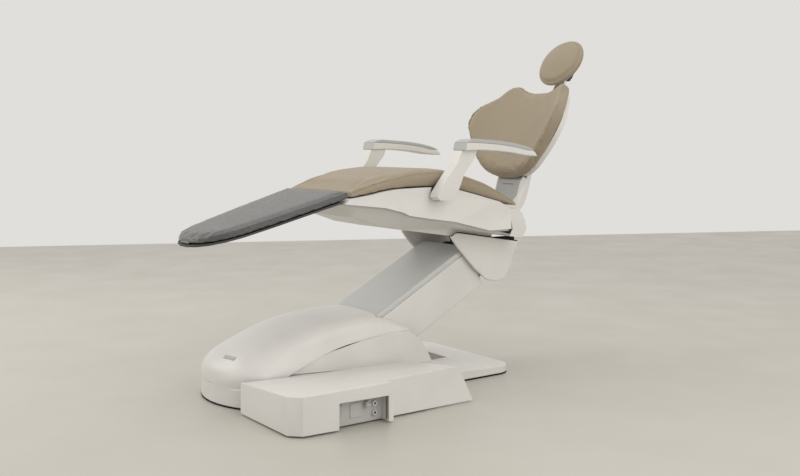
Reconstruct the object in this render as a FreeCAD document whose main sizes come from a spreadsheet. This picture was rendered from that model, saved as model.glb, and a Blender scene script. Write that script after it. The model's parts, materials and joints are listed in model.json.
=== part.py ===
"""Dental treatment chair: floor base, lifting arm, tilting seat, reclining back and headrest.

Frame: +Z up, origin on the floor at the centre of the four anchor holes, -X towards the feet,
+X towards the head, -Y the patient's left. Lengths are in millimetres, angles in degrees.
"""
import FreeCAD
import Part
import Sketcher
import math
import os
from FreeCAD import Placement, Rotation, Vector

# ---------------------------------------------------------------- driving dimensions
SIZES = [
    # floor base
    ("nose_x", 558, "base, origin to the tip of the nose"),
    ("tail_x", 545, "base, origin to the back edge"),
    ("base_half_w", 277, "base, half width"),
    ("nose_depth", 178, "base, length of the rounded nose"),
    ("tail_r", 75, "base, back corner radius in plan"),
    ("gasket_t", 5, "floor gasket, height"),
    ("gasket_w", 9, "floor gasket, width"),
    ("plate_t", 10, "base plate, thickness"),
    ("anchor_x", 300, "anchor holes, half spacing along the chair"),
    ("anchor_y", 150, "anchor holes, half spacing across the chair"),
    ("anchor_r", 6.5, "anchor holes, radius"),
    ("wall", 4, "moulded covers, wall thickness"),
    ("rim_mid_h", 45, "base cover, rim height at the middle of its length"),
    ("rim_pitch", 1.8, "base cover, fall of the rim from nose to tail"),
    ("deck_mid_h", 72, "base cover, deck height at the middle of its length"),
    ("deck_pitch", 3.2, "base cover, fall of the deck from nose to tail"),
    ("deck_inset", 85, "base cover, width of its sloping edge"),
    ("well_half_w", 152, "base cover, half width of the well for the arm"),
    ("well_front", 480, "base cover, origin to the front end of the well"),
    ("well_back", 330, "base cover, origin to the back end of the well"),
    ("seam_gap", 1, "gap between neighbouring covers"),
    ("hood_slot_gap", 4, "hood, gap each side of the arm in its slot"),
    ("hood_fits", 137, "hood, half width of the arm that its sections are drawn for"),
    ("hood_slot_x", 12, "hood, front end of the slot for the arm"),
    ("panel_gap", 33, "side panel, side of the arm to its inner face"),
    # utility box
    ("box_h", 124, "utility box, height at the near wall"),
    ("box_back_x", 150, "utility box, origin to its back end at the floor"),
    ("box_slant", 62, "utility box, lean of its back end"),
    ("box_front_x", 545, "utility box, origin to its front end"),
    ("box_out_y", 503, "utility box, centre plane to its back side wall"),
    ("box_front_y", 526, "utility box, centre plane to its front side wall"),
    ("box_flare_y", 546, "utility box, centre plane to the widest point"),
    ("box_step_x", 204, "utility box, origin to the step in its side wall"),
    ("box_in_gap", 61, "utility box, side of the arm to its inner edge"),
    ("box_in_h", 100, "utility box, height of its inner edge at the front"),
    ("box_in_back_h", 80, "utility box, height of its inner edge at the back"),
    ("box_front_h", 117, "utility box, height of its front end"),
    ("box_corner", 34, "utility box, front corner chamfer"),
    ("recess_x", 392, "recess, origin to its front end"),
    ("recess_len", 172, "recess, length"),
    ("recess_h", 84, "recess, height"),
    ("recess_d", 34, "recess, depth"),
    ("panel_t", 4, "utility panel, thickness"),
    # lift
    ("lift_x", -60, "lower arm pivot, along the chair"),
    ("lift_z", 105, "lower arm pivot, height"),
    ("arm_len", 657, "lift arm, pivot to pivot"),
    ("arm_angle", 28.1, "lift arm, angle above the floor as stored"),
    ("arm_pin_r", 14, "arm pivot pins, radius"),
    ("pin_gap", 0.05, "pivot pins, radial running clearance"),
    ("arm_plate_y", 88, "lift arm, centre plane to the inside of its side plate"),
    ("arm_plate_t", 10, "lift arm, side plate thickness"),
    ("arm_plate_h", 44, "lift arm, half height of its side plates"),
    ("arm_half_w", 137, "arm cover, half width"),
    ("arm_top", 87, "arm cover, pivot line to its top"),
    ("arm_seam", 66, "arm cover, pivot line to its side seam"),
    ("arm_under", 84, "arm cover, pivot line to its underside"),
    ("arm_cover_x1", 88, "lower arm cover, lower pivot to its lower end"),
    ("arm_top_x1", 131, "upper arm cover, lower pivot to its lower end"),
    ("arm_cover_x2", 600, "arm covers, lower pivot to their upper end"),
    ("cover_r", 8, "arm cover, corner radius"),
    ("link_drop", 58, "parallel link, distance below the arm pivots"),
    ("link_pin_r", 9, "parallel link pins, radius"),
    ("link_w", 44, "parallel link, width"),
    ("link_h", 26, "parallel link, height"),
    ("frame_plate_t", 12, "base frame, cheek thickness"),
    ("side_gap", 1.5, "side clearance between pivoting plates"),
    ("crank_len", 112, "lift crank, pivot to the spindle pin"),
    ("crank_angle", 116.6, "lift crank, angle above the floor as stored"),
    ("motor_x", -430, "spindle motor pivot, along the chair"),
    ("motor_z", 112, "spindle motor pivot, height"),
    ("spindle_r", 13, "lift spindle, radius"),
    ("tube_r", 22, "lift spindle housing, outside radius"),
    ("crank_pin_r", 8, "crank pin, radius"),
    ("crank_gap", 5, "crank eye, radial clearance"),
    # upper carriage
    ("yoke_plate_y", 62, "carriage frame, centre plane to the inside of its cheek"),
    ("yoke_plate_t", 12, "carriage frame, cheek thickness"),
    ("yoke_gap", 10, "carriage cover, side of the arm to its inner face"),
    ("yoke_cover_t", 12, "carriage cover, thickness"),
    ("tilt_x", 40, "tilt hinge, behind the upper arm pivot"),
    ("tilt_z", 54, "tilt hinge, above the upper arm pivot"),
    ("tilt_pin_r", 10, "tilt hinge pin, radius"),
    # seat
    ("hinge_x", 55.5, "back hinge, behind the upper arm pivot"),
    ("hinge_z", 130.5, "back hinge, above the upper arm pivot"),
    ("seat_half_w", 245, "seat, half width"),
    ("seat_front_half_w", 215, "seat, half width at its front end"),
    ("seat_taper_x", -525, "seat, where its taper starts, from the back hinge"),
    ("shell_half_w", 250, "seat shell, half width"),
    ("soft_gap", 0.5, "gap between upholstery and what carries it"),
    ("leg_board_t", 7, "leg board, thickness"),
    ("board_x", 750, "leg board, back hinge to its upper end"),
    ("rail_y", 96, "seat frame, centre plane to its rails"),
    ("rail_x1", 610, "seat frame, back hinge to the front end of its rails"),
    ("rail_x2", 36, "seat frame, back hinge to the back end of its rails"),
    ("rail_w", 30, "seat frame, rail width"),
    ("rail_h", 22, "seat frame, rail height"),
    ("hinge_pin_r", 11, "back hinge pin, radius"),
    ("barrel_r", 44, "back hinge barrel, radius"),
    ("barrel_half_w", 70, "back hinge barrel, half width"),
    ("housing_half_w", 240, "rear housing, half width"),
    ("housing_slot", 88, "rear housing, half width of the slot for the back column"),
    ("lug_y", 76, "seat lugs, centre plane to their inner face"),
    ("lug_t", 10, "seat lugs, thickness"),
    # armrests
    ("armrest_x", -375, "armrest hub, from the back hinge"),
    ("armrest_z", 135, "armrest hub, above the back hinge"),
    ("armrest_in_y", 254, "armrest, centre plane to its inner face"),
    ("armrest_w", 72, "armrest, width of the pad"),
    ("post_in_y", 262, "armrest post, centre plane to its inner face"),
    ("post_w", 44, "armrest post, width"),
    ("axle_r", 10, "armrest axle, radius"),
    ("axle_drop", 10, "armrest axle, below the middle of its socket"),
    ("socket_r", 31, "armrest socket, radius"),
    ("socket_t", 9, "armrest socket, thickness"),
    ("pad_t", 13, "armrest pad, thickness"),
    # back
    ("back_lean", 32.5, "back, lean from upright as stored"),
    ("back_face", 31.5, "back, hinge to its front face"),
    ("back_t", 46, "back cushion, thickness"),
    ("back_wrap_r", 365, "back, radius it wraps round the body"),
    ("back_shell_t", 22, "back shell, thickness"),
    ("back_shell_in", 26, "back shell, inset from the cushion edge"),
    ("column_half_w", 72, "back column, half width"),
    # headrest
    ("head_z", 815, "headrest, back hinge to its centre"),
    ("head_r", 117, "headrest, radius seen square on"),
    ("head_x", 66, "headrest, behind the back hinge line"),
    ("head_front", 38, "headrest, rim to the front of its cushion"),
    ("head_flat", 20, "headrest, rim to the flat back of its cushion"),
    ("head_flat_r", 104, "headrest, radius of the flat back of its cushion"),
    ("head_dome_r", 72, "headrest, radius where its front starts to round over"),
    ("head_dome_in", 12, "headrest, crown of its front"),
    ("head_shell_t", 10, "headrest shell, thickness"),
    ("head_shell_r", 60, "headrest shell, radius"),
    ("bar_w", 46, "headrest bar, width"),
    ("bar_t", 9, "headrest bar, thickness"),
    ("bar_x", 112, "headrest bar, behind the back hinge line"),
    ("bar_gap", 0.4, "headrest bar, clearance in its guide"),
    ("head_pin_r", 7, "headrest pivot, radius"),
    ("head_pin_x", 127, "headrest pivot, behind the back hinge line"),
    ("head_pin_z", 800, "headrest pivot, above the back hinge"),
    # services on the utility panel
    ("switch_x", -375, "mains switch, along the chair"),
    ("switch_z", 52, "mains switch, height"),
    ("switch_w", 16, "mains switch, width"),
    ("switch_h", 34, "mains switch, height of its rocker"),
    ("switch_axle_r", 2.5, "mains switch, radius of its axle"),
    ("switch_axle_y", 4, "mains switch, panel face to its axle"),
    ("socket_x", -336, "socket cover, along the chair"),
    ("socket_z", 24, "socket cover, height of its lower edge"),
    ("socket_w", 40, "socket cover, width"),
    ("valve_x", -279, "shutoff valve, along the chair"),
    ("valve_z", 60, "shutoff valve, height"),
    ("valve_r", 10, "shutoff valve, knob radius"),
    ("valve_stem_r", 4, "shutoff valve, stem radius"),
    ("port_x", -250, "hose couplings, along the chair"),
    ("port_z", 58, "upper hose coupling, height"),
    ("port_pitch", 28, "hose couplings, spacing"),
    ("port_r", 8, "hose couplings, radius"),
    ("port_bore_r", 4, "hose couplings, bore radius"),
    ("supply_x", -140, "power supply, along the chair"),
    ("supply_y", 440, "power supply, centre plane to its far side"),
    ("link_play", 0.6, "parallel link, play of its upper eye"),
    ("motor_r", 34, "spindle motor, radius"),
    ("motor_ear_y", 26, "spindle motor, centre plane to the ears that hold it"),
    ("tube_end", 205, "spindle housing, pivot to its mouth"),
    ("spindle_start", 112, "lift spindle, motor pivot to its inner end"),
    ("gearmotor_r", 32, "back gear motor, radius"),
    ("gearmotor_len", 90, "back gear motor, length"),
    ("bar_low", 330, "headrest bar, hinge to its lower end"),
    ("head_lug_half_w", 12, "headrest lug, half width"),
]

# Outlines, as corner points. Each point becomes two cells of the sheet.
OUTLINES = {
    # seen from the side, from the origin
    "panel": [(-372, 91), (-309, 118), (-192, 150), (-70, 172), (57, 186), (132, 184),
              (172, 155), (209, 110), (236, 58), (36, 64), (-210, 76)],
    # seen from the side, from the upper arm pivot
    "yoke_cover": [(-161, 107), (156, 56), (134, 13), (113, -40), (87, -80), (47, -92),
                   (-9, -82), (-69, -34), (-118, 16), (-152, 51), (-184, 90)],
    # seen from the side, from the back hinge
    "seat_top": [(-720, 149), (-673, 166), (-620, 181), (-514, 201), (-404, 213), (-359, 214),
                 (-318, 208), (-210, 182), (-113, 153), (-40, 122), (22, 92)],
    "seat_under": [(-721, 120), (-644, 132), (-594, 143), (-539, 150), (-409, 153), (-290, 143),
                   (-201, 122), (-79, 91), (17, 67)],
    "seam": [(-744, 102), (-704, 98), (-590, 85), (-522, 67), (-496, 55), (-409, 41),
             (-295, 25), (-128, -15), (-18, -30)],
    "foot_top": [(-722, 148), (-1095, 41), (-1226, 6)],
    "foot_under": [(-1226, -20), (-1095, 12), (-722, 119)],
    # seen from the side, from the armrest hub
    "post": [(66, 146.8), (47, 103), (11, 61), (-20, 23), (-38, -1), (-43, -15), (-30, -27),
             (4, -28), (22, -22), (52, 7), (75, 60), (103, 95), (126, 120), (138, 148.8)],
    "rest_top": [(100, 190), (138, 187), (233, 181), (307, 172), (372, 159), (403, 146)],
    "rest_under": [(416, 124), (357, 128), (282, 139), (209, 145), (138, 149), (66, 147)],
    "rest_nose": [(72, 176)],
    # back cushion seen square on: half width and distance up from the hinge
    "back_edge": [(68, 240), (130, 256), (165, 282), (190, 315), (213, 350), (234, 385),
                  (249, 422), (253, 460), (246, 500), (226, 540), (186, 600), (158, 655),
                  (122, 672), (88, 662), (56, 650)],
    # seen from the side, from the back hinge, leaning with the back
    "column": [(-20, 38), (88, 150), (96, 176), (80, 240), (80, 257), (101, 260), (101, 560),
               (124, 560), (124, 320), (116, 296), (140, 204), (145, 168), (136, 120), (38, -20)],
    # upright, seen from the side, from the back hinge
    "housing": [(-21, -41), (-6, -17), (-11, 11), (-20, 62), (23, 61), (42, 42), (58, 15),
                (66, -16), (54, -40), (40, -51), (0, -45)],
    "lug": [(-62, 60), (-62, -20), (-44, -92), (12, -92), (34, -14), (24, 26), (-4, 34), (-30, 60)],
    # seen from above, from the back hinge: station and half width
    "foot_plan": [(-722, 215), (-805, 206), (-975, 187), (-1085, 168), (-1145, 150), (-1188, 120),
                  (-1214, 78), (-1226, 30)],
    # seen from the side, from the upper arm pivot
    "yoke_cheek": [(-32, 0), (-26, -84), (26, -84), (90, -34), (90, 0), (66, 44), (52, 76),
                   (28, 76), (0, 32)],
    # seen from the side, from the lower arm pivot
    "base_cheek": [(-100, -95), (70, -95), (34, -10), (26, 26), (-26, 26), (-70, -30)],
}

# Cross-sections of the hood: station, then (half width, height) from the foot of the side wall up
HOOD = [
    (-553, [(52, 58), (56, 84), (40, 100), (20, 108)]),
    (-520, [(140, 60), (140, 100), (112, 124), (60, 140)]),
    (-470, [(186, 66), (182, 104), (140, 146), (80, 170)]),
    (-400, [(190, 82), (184, 112), (146, 166), (92, 198)]),
    (-280, [(178, 128), (170, 152), (148, 202), (104, 230)]),
    (-150, [(172, 161), (168, 180), (150, 222), (112, 244)]),
    (-20, [(170, 181), (167, 196), (152, 230), (118, 250)]),
    (132, [(170, 186), (167, 190), (154, 194), (120, 198)]),
]
# Cross-sections of the seat tub: station from the back hinge, half widths and heights, seam to bottom
TUB = [
    (-690, [(188, 97), (150, 95), (135, 93), (120, 92)]),
    (-660, [(196, 93), (160, 70), (140, 55), (128, 50)]),
    (-560, [(222, 77), (175, 40), (150, 22), (140, 17)]),
    (-440, [(243, 45), (185, 17), (152, -1), (146, -5)]),
    (-225, [(248, 7), (168, -11), (141, -13), (139, -38)]),
    (-24, [(248, -31), (168, -41), (141, -43), (139, -56)]),
]


# ---------------------------------------------------------------- bound sizes
class Size:
    """A number together with the expression that gives it in the sheet."""

    def __init__(self, value, text):
        self.value = value
        self.text = text

    def join(self, other, sign, work):
        other = as_size(other)
        return Size(work(self.value, other.value), "(%s %s %s)" % (self.text, sign, other.text))

    def __add__(self, other):
        return self.join(other, "+", lambda a, b: a + b)

    def __sub__(self, other):
        return self.join(other, "-", lambda a, b: a - b)

    def __mul__(self, other):
        return self.join(other, "*", lambda a, b: a * b)

    def __truediv__(self, other):
        return self.join(other, "/", lambda a, b: a / b)

    def __radd__(self, other):
        return as_size(other) + self

    def __rsub__(self, other):
        return as_size(other) - self

    def __rmul__(self, other):
        return as_size(other) * self

    def __neg__(self):
        return as_size(0) - self


def as_size(number):
    return number if isinstance(number, Size) else Size(number, repr(number))


def turn(function, angle):
    """The sine or cosine of an angle in degrees."""
    work = {"sin": math.sin, "cos": math.cos}[function]
    return Size(work(math.radians(angle.value)), "%s(%s * 1 deg)" % (function, angle.text))


def root(size):
    return Size(math.sqrt(size.value), "sqrt(%s)" % size.text)


class Sheet:
    """The spreadsheet of driving dimensions, read by name."""

    def __init__(self, doc):
        self.sheet = doc.addObject("Spreadsheet::Sheet", "Dims")
        self.row = 0
        for name, value, meaning in SIZES:
            self.cell(name, value, meaning)
        for name, points in OUTLINES.items():
            for index, point in enumerate(points):
                self.cell("%s_a%02dp" % (name, index), point[0], name + " outline")
                self.cell("%s_b%02dp" % (name, index), point[1], name + " outline")
        for name, stations in (("hood", HOOD), ("tub", TUB)):
            for index, (station, points) in enumerate(stations):
                self.cell("%s_station%02dp" % (name, index), station, name + " station")
                for corner, point in enumerate(points):
                    key = "%s_%02d_corner%02d" % (name, index, corner)
                    self.cell(key + "_wide", point[0], name + " half width")
                    self.cell(key + "_high", point[1], name + " height")

    def cell(self, name, value, meaning):
        self.row += 1
        self.sheet.set("A%d" % self.row, meaning)
        self.sheet.set("B%d" % self.row, repr(value))
        self.sheet.setAlias("B%d" % self.row, name)
        setattr(self, name, Size(value, "Dims." + name))

    def outline(self, name, origin=(0, 0), reverse=False):
        points = []
        for index in range(len(OUTLINES[name])):
            first = getattr(self, "%s_a%02dp" % (name, index))
            second = getattr(self, "%s_b%02dp" % (name, index))
            points.append((origin[0] + first, origin[1] + second))
        return points[::-1] if reverse else points

    def stations(self, name, table):
        """Each cross-section's station and corners, read from the sheet."""
        found = []
        for index, (_, corners) in enumerate(table):
            key = "%s_%02d_corner%02d"
            points = [(getattr(self, key % (name, index, corner) + "_wide"),
                       getattr(self, key % (name, index, corner) + "_high"))
                      for corner in range(len(corners))]
            found.append((getattr(self, "%s_station%02dp" % (name, index)), points))
        return found


doc = FreeCAD.newDocument("dental_chair")
d = Sheet(doc)
doc.recompute()
NODES = []

# Places that several pieces share
upper_x = d.lift_x + d.arm_len * turn("cos", d.arm_angle)
upper_z = d.lift_z + d.arm_len * turn("sin", d.arm_angle)
hinge_x = upper_x + d.hinge_x
hinge_z = upper_z + d.hinge_z
crank_x = d.lift_x + d.crank_len * turn("cos", d.crank_angle)
crank_z = d.lift_z + d.crank_len * turn("sin", d.crank_angle)
LEFT, RIGHT = -1, 1
SIDES = ((LEFT, "left"), (RIGHT, "right"))


# ---------------------------------------------------------------- helpers
def bind(thing, path, size):
    """Ties a property of an object to the sheet."""
    thing.setExpression(path, as_size(size).text)


def keep(thing, label):
    """Marks an object as a finished piece under its own name."""
    thing.Label = label
    NODES.append(thing)
    return thing


def new_body(name):
    return doc.addObject("PartDesign::Body", "body_" + name)


def origin_plane(body, role):
    return [item for item in body.Origin.OriginFeatures if item.Role == role][0]


def sketch(body, plane, points, offset=None, arcs=None, pitch=None):
    """A closed outline. arcs maps the number of an edge to its radius; the edge bulges outwards."""
    shape = body.newObject("Sketcher::SketchObject", "outline")
    shape.AttachmentSupport = [(origin_plane(body, plane), "")]
    shape.MapMode = "FlatFace"
    if pitch is not None:
        shape.AttachmentOffset = Placement(Vector(), Rotation(Vector(0, 1, 0), pitch.value))
        bind(shape, "AttachmentOffset.Rotation.Angle", pitch)
    if offset is not None:
        bind(shape, "AttachmentOffset.Base.z", offset)
    corners = [(as_size(a), as_size(b)) for a, b in points]
    spots = [Vector(a.value, b.value, 0) for a, b in corners]
    arcs = arcs or {}
    ends = []
    for index, start in enumerate(spots):
        stop = spots[(index + 1) % len(spots)]
        if index in arcs:
            chord = stop - start
            half = chord.Length / 2
            out = Vector(chord.y, -chord.x, 0).normalize()
            rise = arcs[index].value - math.sqrt(arcs[index].value ** 2 - half ** 2)
            edge = Part.Arc(start, (start + stop) / 2 + out * rise, stop)
            circle = edge.StartPoint.distanceToPoint(start) < 1e-6
            ends.append((1, 2) if circle else (2, 1))
        else:
            edge = Part.LineSegment(start, stop)
            ends.append((1, 2))
        shape.addGeometry(edge, False)
    for index in range(len(spots)):
        follow = (index + 1) % len(spots)
        shape.addConstraint(Sketcher.Constraint(
            "Coincident", index, ends[index][1], follow, ends[follow][0]))
    for index, (a, b) in enumerate(corners):
        for kind, size in (("DistanceX", a), ("DistanceY", b)):
            number = shape.addConstraint(Sketcher.Constraint(kind, index, ends[index][0], size.value))
            shape.setExpression("Constraints[%d]" % number, size.text)
    for index, radius in arcs.items():
        number = shape.addConstraint(Sketcher.Constraint("Radius", index, radius.value))
        shape.setExpression("Constraints[%d]" % number, radius.text)
    return shape


def mirrored(points):
    """Half an outline, given as (half width, height), closed by its mirror image."""
    return [(half, up) for half, up in points] + [(-half, up) for half, up in reversed(points)]


def pad(body, profile, length, middle=False, reverse=False):
    feature = body.newObject("PartDesign::Pad", "pad")
    feature.Profile = profile
    bind(feature, "Length", length)
    feature.Midplane = middle
    feature.Reversed = reverse
    return feature


def pocket(body, profile, length=None, middle=False, reverse=False):
    """A cut. With no length it goes through everything, both ways when it is from the middle."""
    doc.recompute()
    before = body.Shape.Volume
    feature = body.newObject("PartDesign::Pocket", "pocket")
    feature.Profile = profile
    feature.Midplane = middle
    feature.Reversed = reverse
    if length is None:
        feature.Type = 1
    else:
        bind(feature, "Length", length)
    doc.recompute()
    if not body.Shape.Volume < before - 1:
        raise RuntimeError("%s: a pocket cut nothing" % body.Name)
    return feature


def loft(body, sketches, cut=False, ruled=True):
    kind = "PartDesign::SubtractiveLoft" if cut else "PartDesign::AdditiveLoft"
    feature = body.newObject(kind, "loft")
    feature.Profile = sketches[0]
    feature.Sections = sketches[1:]
    feature.Ruled = ruled
    return feature


def turned(body, profile):
    """A solid of revolution about the sketch's horizontal axis."""
    feature = body.newObject("PartDesign::Revolution", "turned")
    feature.Profile = profile
    feature.ReferenceAxis = (profile, ["H_Axis"])
    feature.Angle = 360
    return feature


def rounded(body, radius, pick):
    """Rounds the edges of the newest feature that pick() accepts."""
    doc.recompute()
    base = body.Tip
    names = ["Edge%d" % (n + 1) for n, edge in enumerate(base.Shape.Edges) if pick(edge)]
    if not names:
        raise RuntimeError("%s: no edge to round" % body.Name)
    feature = body.newObject("PartDesign::Fillet", "fillet")
    feature.Base = (base, names)
    bind(feature, "Radius", radius)
    return feature


def along_y(edge):
    """True for a straight edge that runs across the chair."""
    box = edge.BoundBox
    return box.YLength > 1 and box.XLength < 0.01 and box.ZLength < 0.01


def slab(name, points, inner, thickness, side):
    """A plate standing along the chair, between inner and inner + thickness from the centre plane."""
    body = new_body(name)
    shape = sketch(body, "XZ_Plane", points, offset=as_size(inner) * -side)
    pad(body, shape, thickness, reverse=side == RIGHT)
    return body


def prism(name, points, half_w, arcs=None):
    """A side view carried half_w to each side of the centre plane."""
    body = new_body(name)
    pad(body, sketch(body, "XZ_Plane", points, arcs=arcs), as_size(half_w) * 2, middle=True)
    return body


def place(thing, x, y, z, axis=None, angle=None):
    """Puts a piece at bound coordinates, turned about an axis by a bound angle."""
    if axis is not None:
        thing.Placement = Placement(Vector(), Rotation(Vector(*axis), as_size(angle).value))
        if isinstance(angle, Size):
            bind(thing, "Placement.Rotation.Angle", angle)
    for name, size in (("x", x), ("y", y), ("z", z)):
        bind(thing, "Placement.Base." + name, size)
    return thing


def box(name, x, y, z, length, width, height):
    """A block from its lowest corner."""
    thing = doc.addObject("Part::Box", name)
    bind(thing, "Length", length)
    bind(thing, "Width", width)
    bind(thing, "Height", height)
    return place(thing, x, y, z)


def rod(name, radius, x, z, y1, y2):
    """A cylinder across the chair, from y1 to y2."""
    thing = doc.addObject("Part::Cylinder", name)
    bind(thing, "Radius", radius)
    bind(thing, "Height", as_size(y2) - y1)
    return place(thing, x, y1, z, (1, 0, 0), -90)


def across(name, radius, x, z, reach, side):
    """A cylinder on one side of the chair, between two distances from the centre plane."""
    near, far = reach
    if side == RIGHT:
        return rod(name, radius, x, z, near, far)
    return rod(name, radius, x, z, -far, -near)


def cut(name, base, tool):
    thing = doc.addObject("Part::Cut", name)
    thing.Base = base
    thing.Tool = tool
    return thing


def group(name, pieces):
    """Separate solids of one kind kept together."""
    thing = doc.addObject("Part::Compound", name)
    thing.Links = pieces
    return thing


def fuse(name, pieces):
    thing = doc.addObject("Part::MultiFuse", name)
    thing.Shapes = pieces
    return thing


# ---------------------------------------------------------------- floor base
def base_plan(inset):
    """The base seen from above, drawn in by an inset, with the radius of its nose."""
    half = d.base_half_w - inset
    depth = d.nose_depth
    radius = (half * half + depth * depth) / (depth * 2)
    tip = d.nose_x - inset
    tail = d.tail_x - inset
    points = [(depth - tip, -half), (tail - d.tail_r, -half), (tail, d.tail_r - half),
              (tail, half - d.tail_r), (tail - d.tail_r, half), (depth - tip, half)]
    return points, {1: d.tail_r, 3: d.tail_r, 5: radius}


def make_floor_gasket():
    body = new_body("floor_gasket")
    points, arcs = base_plan(as_size(0))
    pad(body, sketch(body, "XY_Plane", points, arcs=arcs), d.gasket_t)
    points, arcs = base_plan(d.gasket_w)
    pocket(body, sketch(body, "XY_Plane", points, arcs=arcs), reverse=True)
    keep(body, "floor_gasket")


def make_base_plate():
    body = new_body("base_plate")
    points, arcs = base_plan(d.gasket_w + d.seam_gap)
    pad(body, sketch(body, "XY_Plane", points, arcs=arcs), d.plate_t)
    doc.recompute()
    tools = []
    for across in SIDES:
        for along in SIDES:
            hole = doc.addObject("Part::Cylinder", "anchor_hole")
            bind(hole, "Radius", d.anchor_r)
            bind(hole, "Height", d.plate_t * 3)
            place(hole, d.anchor_x * along[0], d.anchor_y * across[0], -d.plate_t)
            tools.append(hole)
    keep(cut("plate_with_holes", body, group("anchor_holes", tools)), "base_plate")


def base_loft(body, inset, floor, drop, carve=False):
    """The platform's outer form: upright rim, then an edge that slopes in to the deck."""
    points, arcs = base_plan(inset)
    levels = [sketch(body, "XY_Plane", points, offset=floor, arcs=arcs),
              sketch(body, "XY_Plane", points, offset=d.rim_mid_h - drop / 2, arcs=arcs,
                     pitch=d.rim_pitch)]
    points, arcs = base_plan(d.deck_inset + inset)
    levels.append(sketch(body, "XY_Plane", points, offset=d.deck_mid_h - drop, arcs=arcs,
                         pitch=d.deck_pitch))
    loft(body, levels, cut=carve)


def make_base_cover():
    """The low platform, hollow, with a well for the arm and the lift."""
    body = new_body("base_cover")
    base_loft(body, as_size(0), d.gasket_t, as_size(0))
    base_loft(body, d.wall, d.gasket_t - d.wall, d.wall, carve=True)
    well = [(-d.well_front, -d.well_half_w), (d.well_back, -d.well_half_w),
            (d.well_back, d.well_half_w), (-d.well_front, d.well_half_w)]
    pocket(body, sketch(body, "XY_Plane", well, offset=d.rim_mid_h - d.wall), reverse=True)
    keep(body, "base_cover")


def make_base_trim():
    """The platform's form let up by a gap, which trims the covers that stand on it."""
    body = new_body("base_trim")
    base_loft(body, as_size(0), as_size(0), -d.seam_gap * 2)
    return body


def hood_section(body, station, corners, inset):
    """The hood cut across, let out with the arm that it goes over, drawn in by an inset."""
    low, out = corners[0][1] - inset, d.arm_half_w - d.hood_fits - inset
    points = [(corners[0][0] + out, low)] + [(a + out, b - inset) for a, b in corners[1:]]
    return sketch(body, "YZ_Plane", mirrored(points), offset=station)


def make_cowl_hood(trim):
    """The tapering hood over the lift, with a slot for the arm at its high end."""
    body = new_body("cowl_hood")
    stations = d.stations("hood", HOOD)
    loft(body, [hood_section(body, at, corners, as_size(0)) for at, corners in stations])
    inner = [hood_section(body, at + (d.wall if n == 0 else (-0.01 if n < 7 else 1)), corners, d.wall)
             for n, (at, corners) in enumerate(stations)]
    loft(body, inner, cut=True)
    half = d.arm_half_w + d.hood_slot_gap
    slot = [(d.hood_slot_x, -half), (d.tail_x, -half), (d.tail_x, half), (d.hood_slot_x, half)]
    pocket(body, sketch(body, "XY_Plane", slot), reverse=True)
    keep(cut("hood_on_base", body, trim), "cowl_hood")


def make_cowl_side_panels(trim):
    for side, word in SIDES:
        body = slab("cowl_panel", d.outline("panel"), d.arm_half_w + d.panel_gap + d.seam_gap,
                    d.wall, side)
        keep(cut("panel_on_base", body, trim), "cowl_side_panel_" + word)


# ---------------------------------------------------------------- utility box
def box_section(body, at, low, in_h, out_y, out_h, inset):
    """The box cut across: from its inner edge to its outer wall, drawn in by an inset."""
    inner = (d.arm_half_w + d.box_in_gap) - inset * 3
    points = [(-inner, low - inset), (-inner, in_h - inset), (inset - out_y, out_h - inset),
              (inset - out_y, low - inset)]
    return sketch(body, "YZ_Plane", points, offset=at)


def make_utility_box(trim):
    """The moulded cover over the services: a flared front part and a part set back behind it."""
    body = new_body("utility_box")
    slope = (d.box_in_back_h - d.box_in_h) / (d.box_back_x + d.box_front_x)
    step_in_h = d.box_in_h + slope * (d.box_front_x - d.box_step_x)
    corner_in_h = d.box_in_h + slope * d.box_corner
    share = (d.box_out_y - (d.arm_half_w + d.box_in_gap)) / (d.box_flare_y - (d.arm_half_w + d.box_in_gap))
    level_h = step_in_h + (d.box_h - 2 - step_in_h) * share
    for inset, carve in ((as_size(0), False), (d.wall, True)):
        front = [(inset - d.box_front_x, d.box_in_h, d.box_front_y - d.box_corner, d.box_front_h),
                 (d.box_corner - d.box_front_x + inset, corner_in_h, d.box_front_y, d.box_front_h),
                 (-d.box_step_x - inset, step_in_h, d.box_flare_y, d.box_h - 2)]
        back = [(-d.box_step_x - inset * 2, step_in_h, d.box_out_y, level_h),
                (d.box_back_x - inset, d.box_in_back_h, d.box_out_y, d.box_h)]
        for run in (front, back):
            loft(body, [box_section(body, at, d.gasket_t, in_h, out_y, out_h, inset)
                        for at, in_h, out_y, out_h in run], cut=carve)
    back = d.box_back_x
    lean = [(back - d.box_slant, d.box_h * 2), (back - d.box_slant, d.box_h + 1), (back + 1, 0),
            (back + 40, 0), (back + 40, d.box_h * 2)]
    pocket(body, sketch(body, "XZ_Plane", lean, offset=(d.arm_half_w + d.box_in_gap) - 40), reverse=True)
    mouth = [(-d.recess_x, 0), (d.recess_len - d.recess_x, 0),
             (d.recess_len - d.recess_x, d.recess_h), (-d.recess_x, d.recess_h)]
    pocket(body, sketch(body, "XZ_Plane", mouth, offset=d.box_out_y), reverse=True)
    keep(cut("box_on_base", body, trim), "utility_box")


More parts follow.
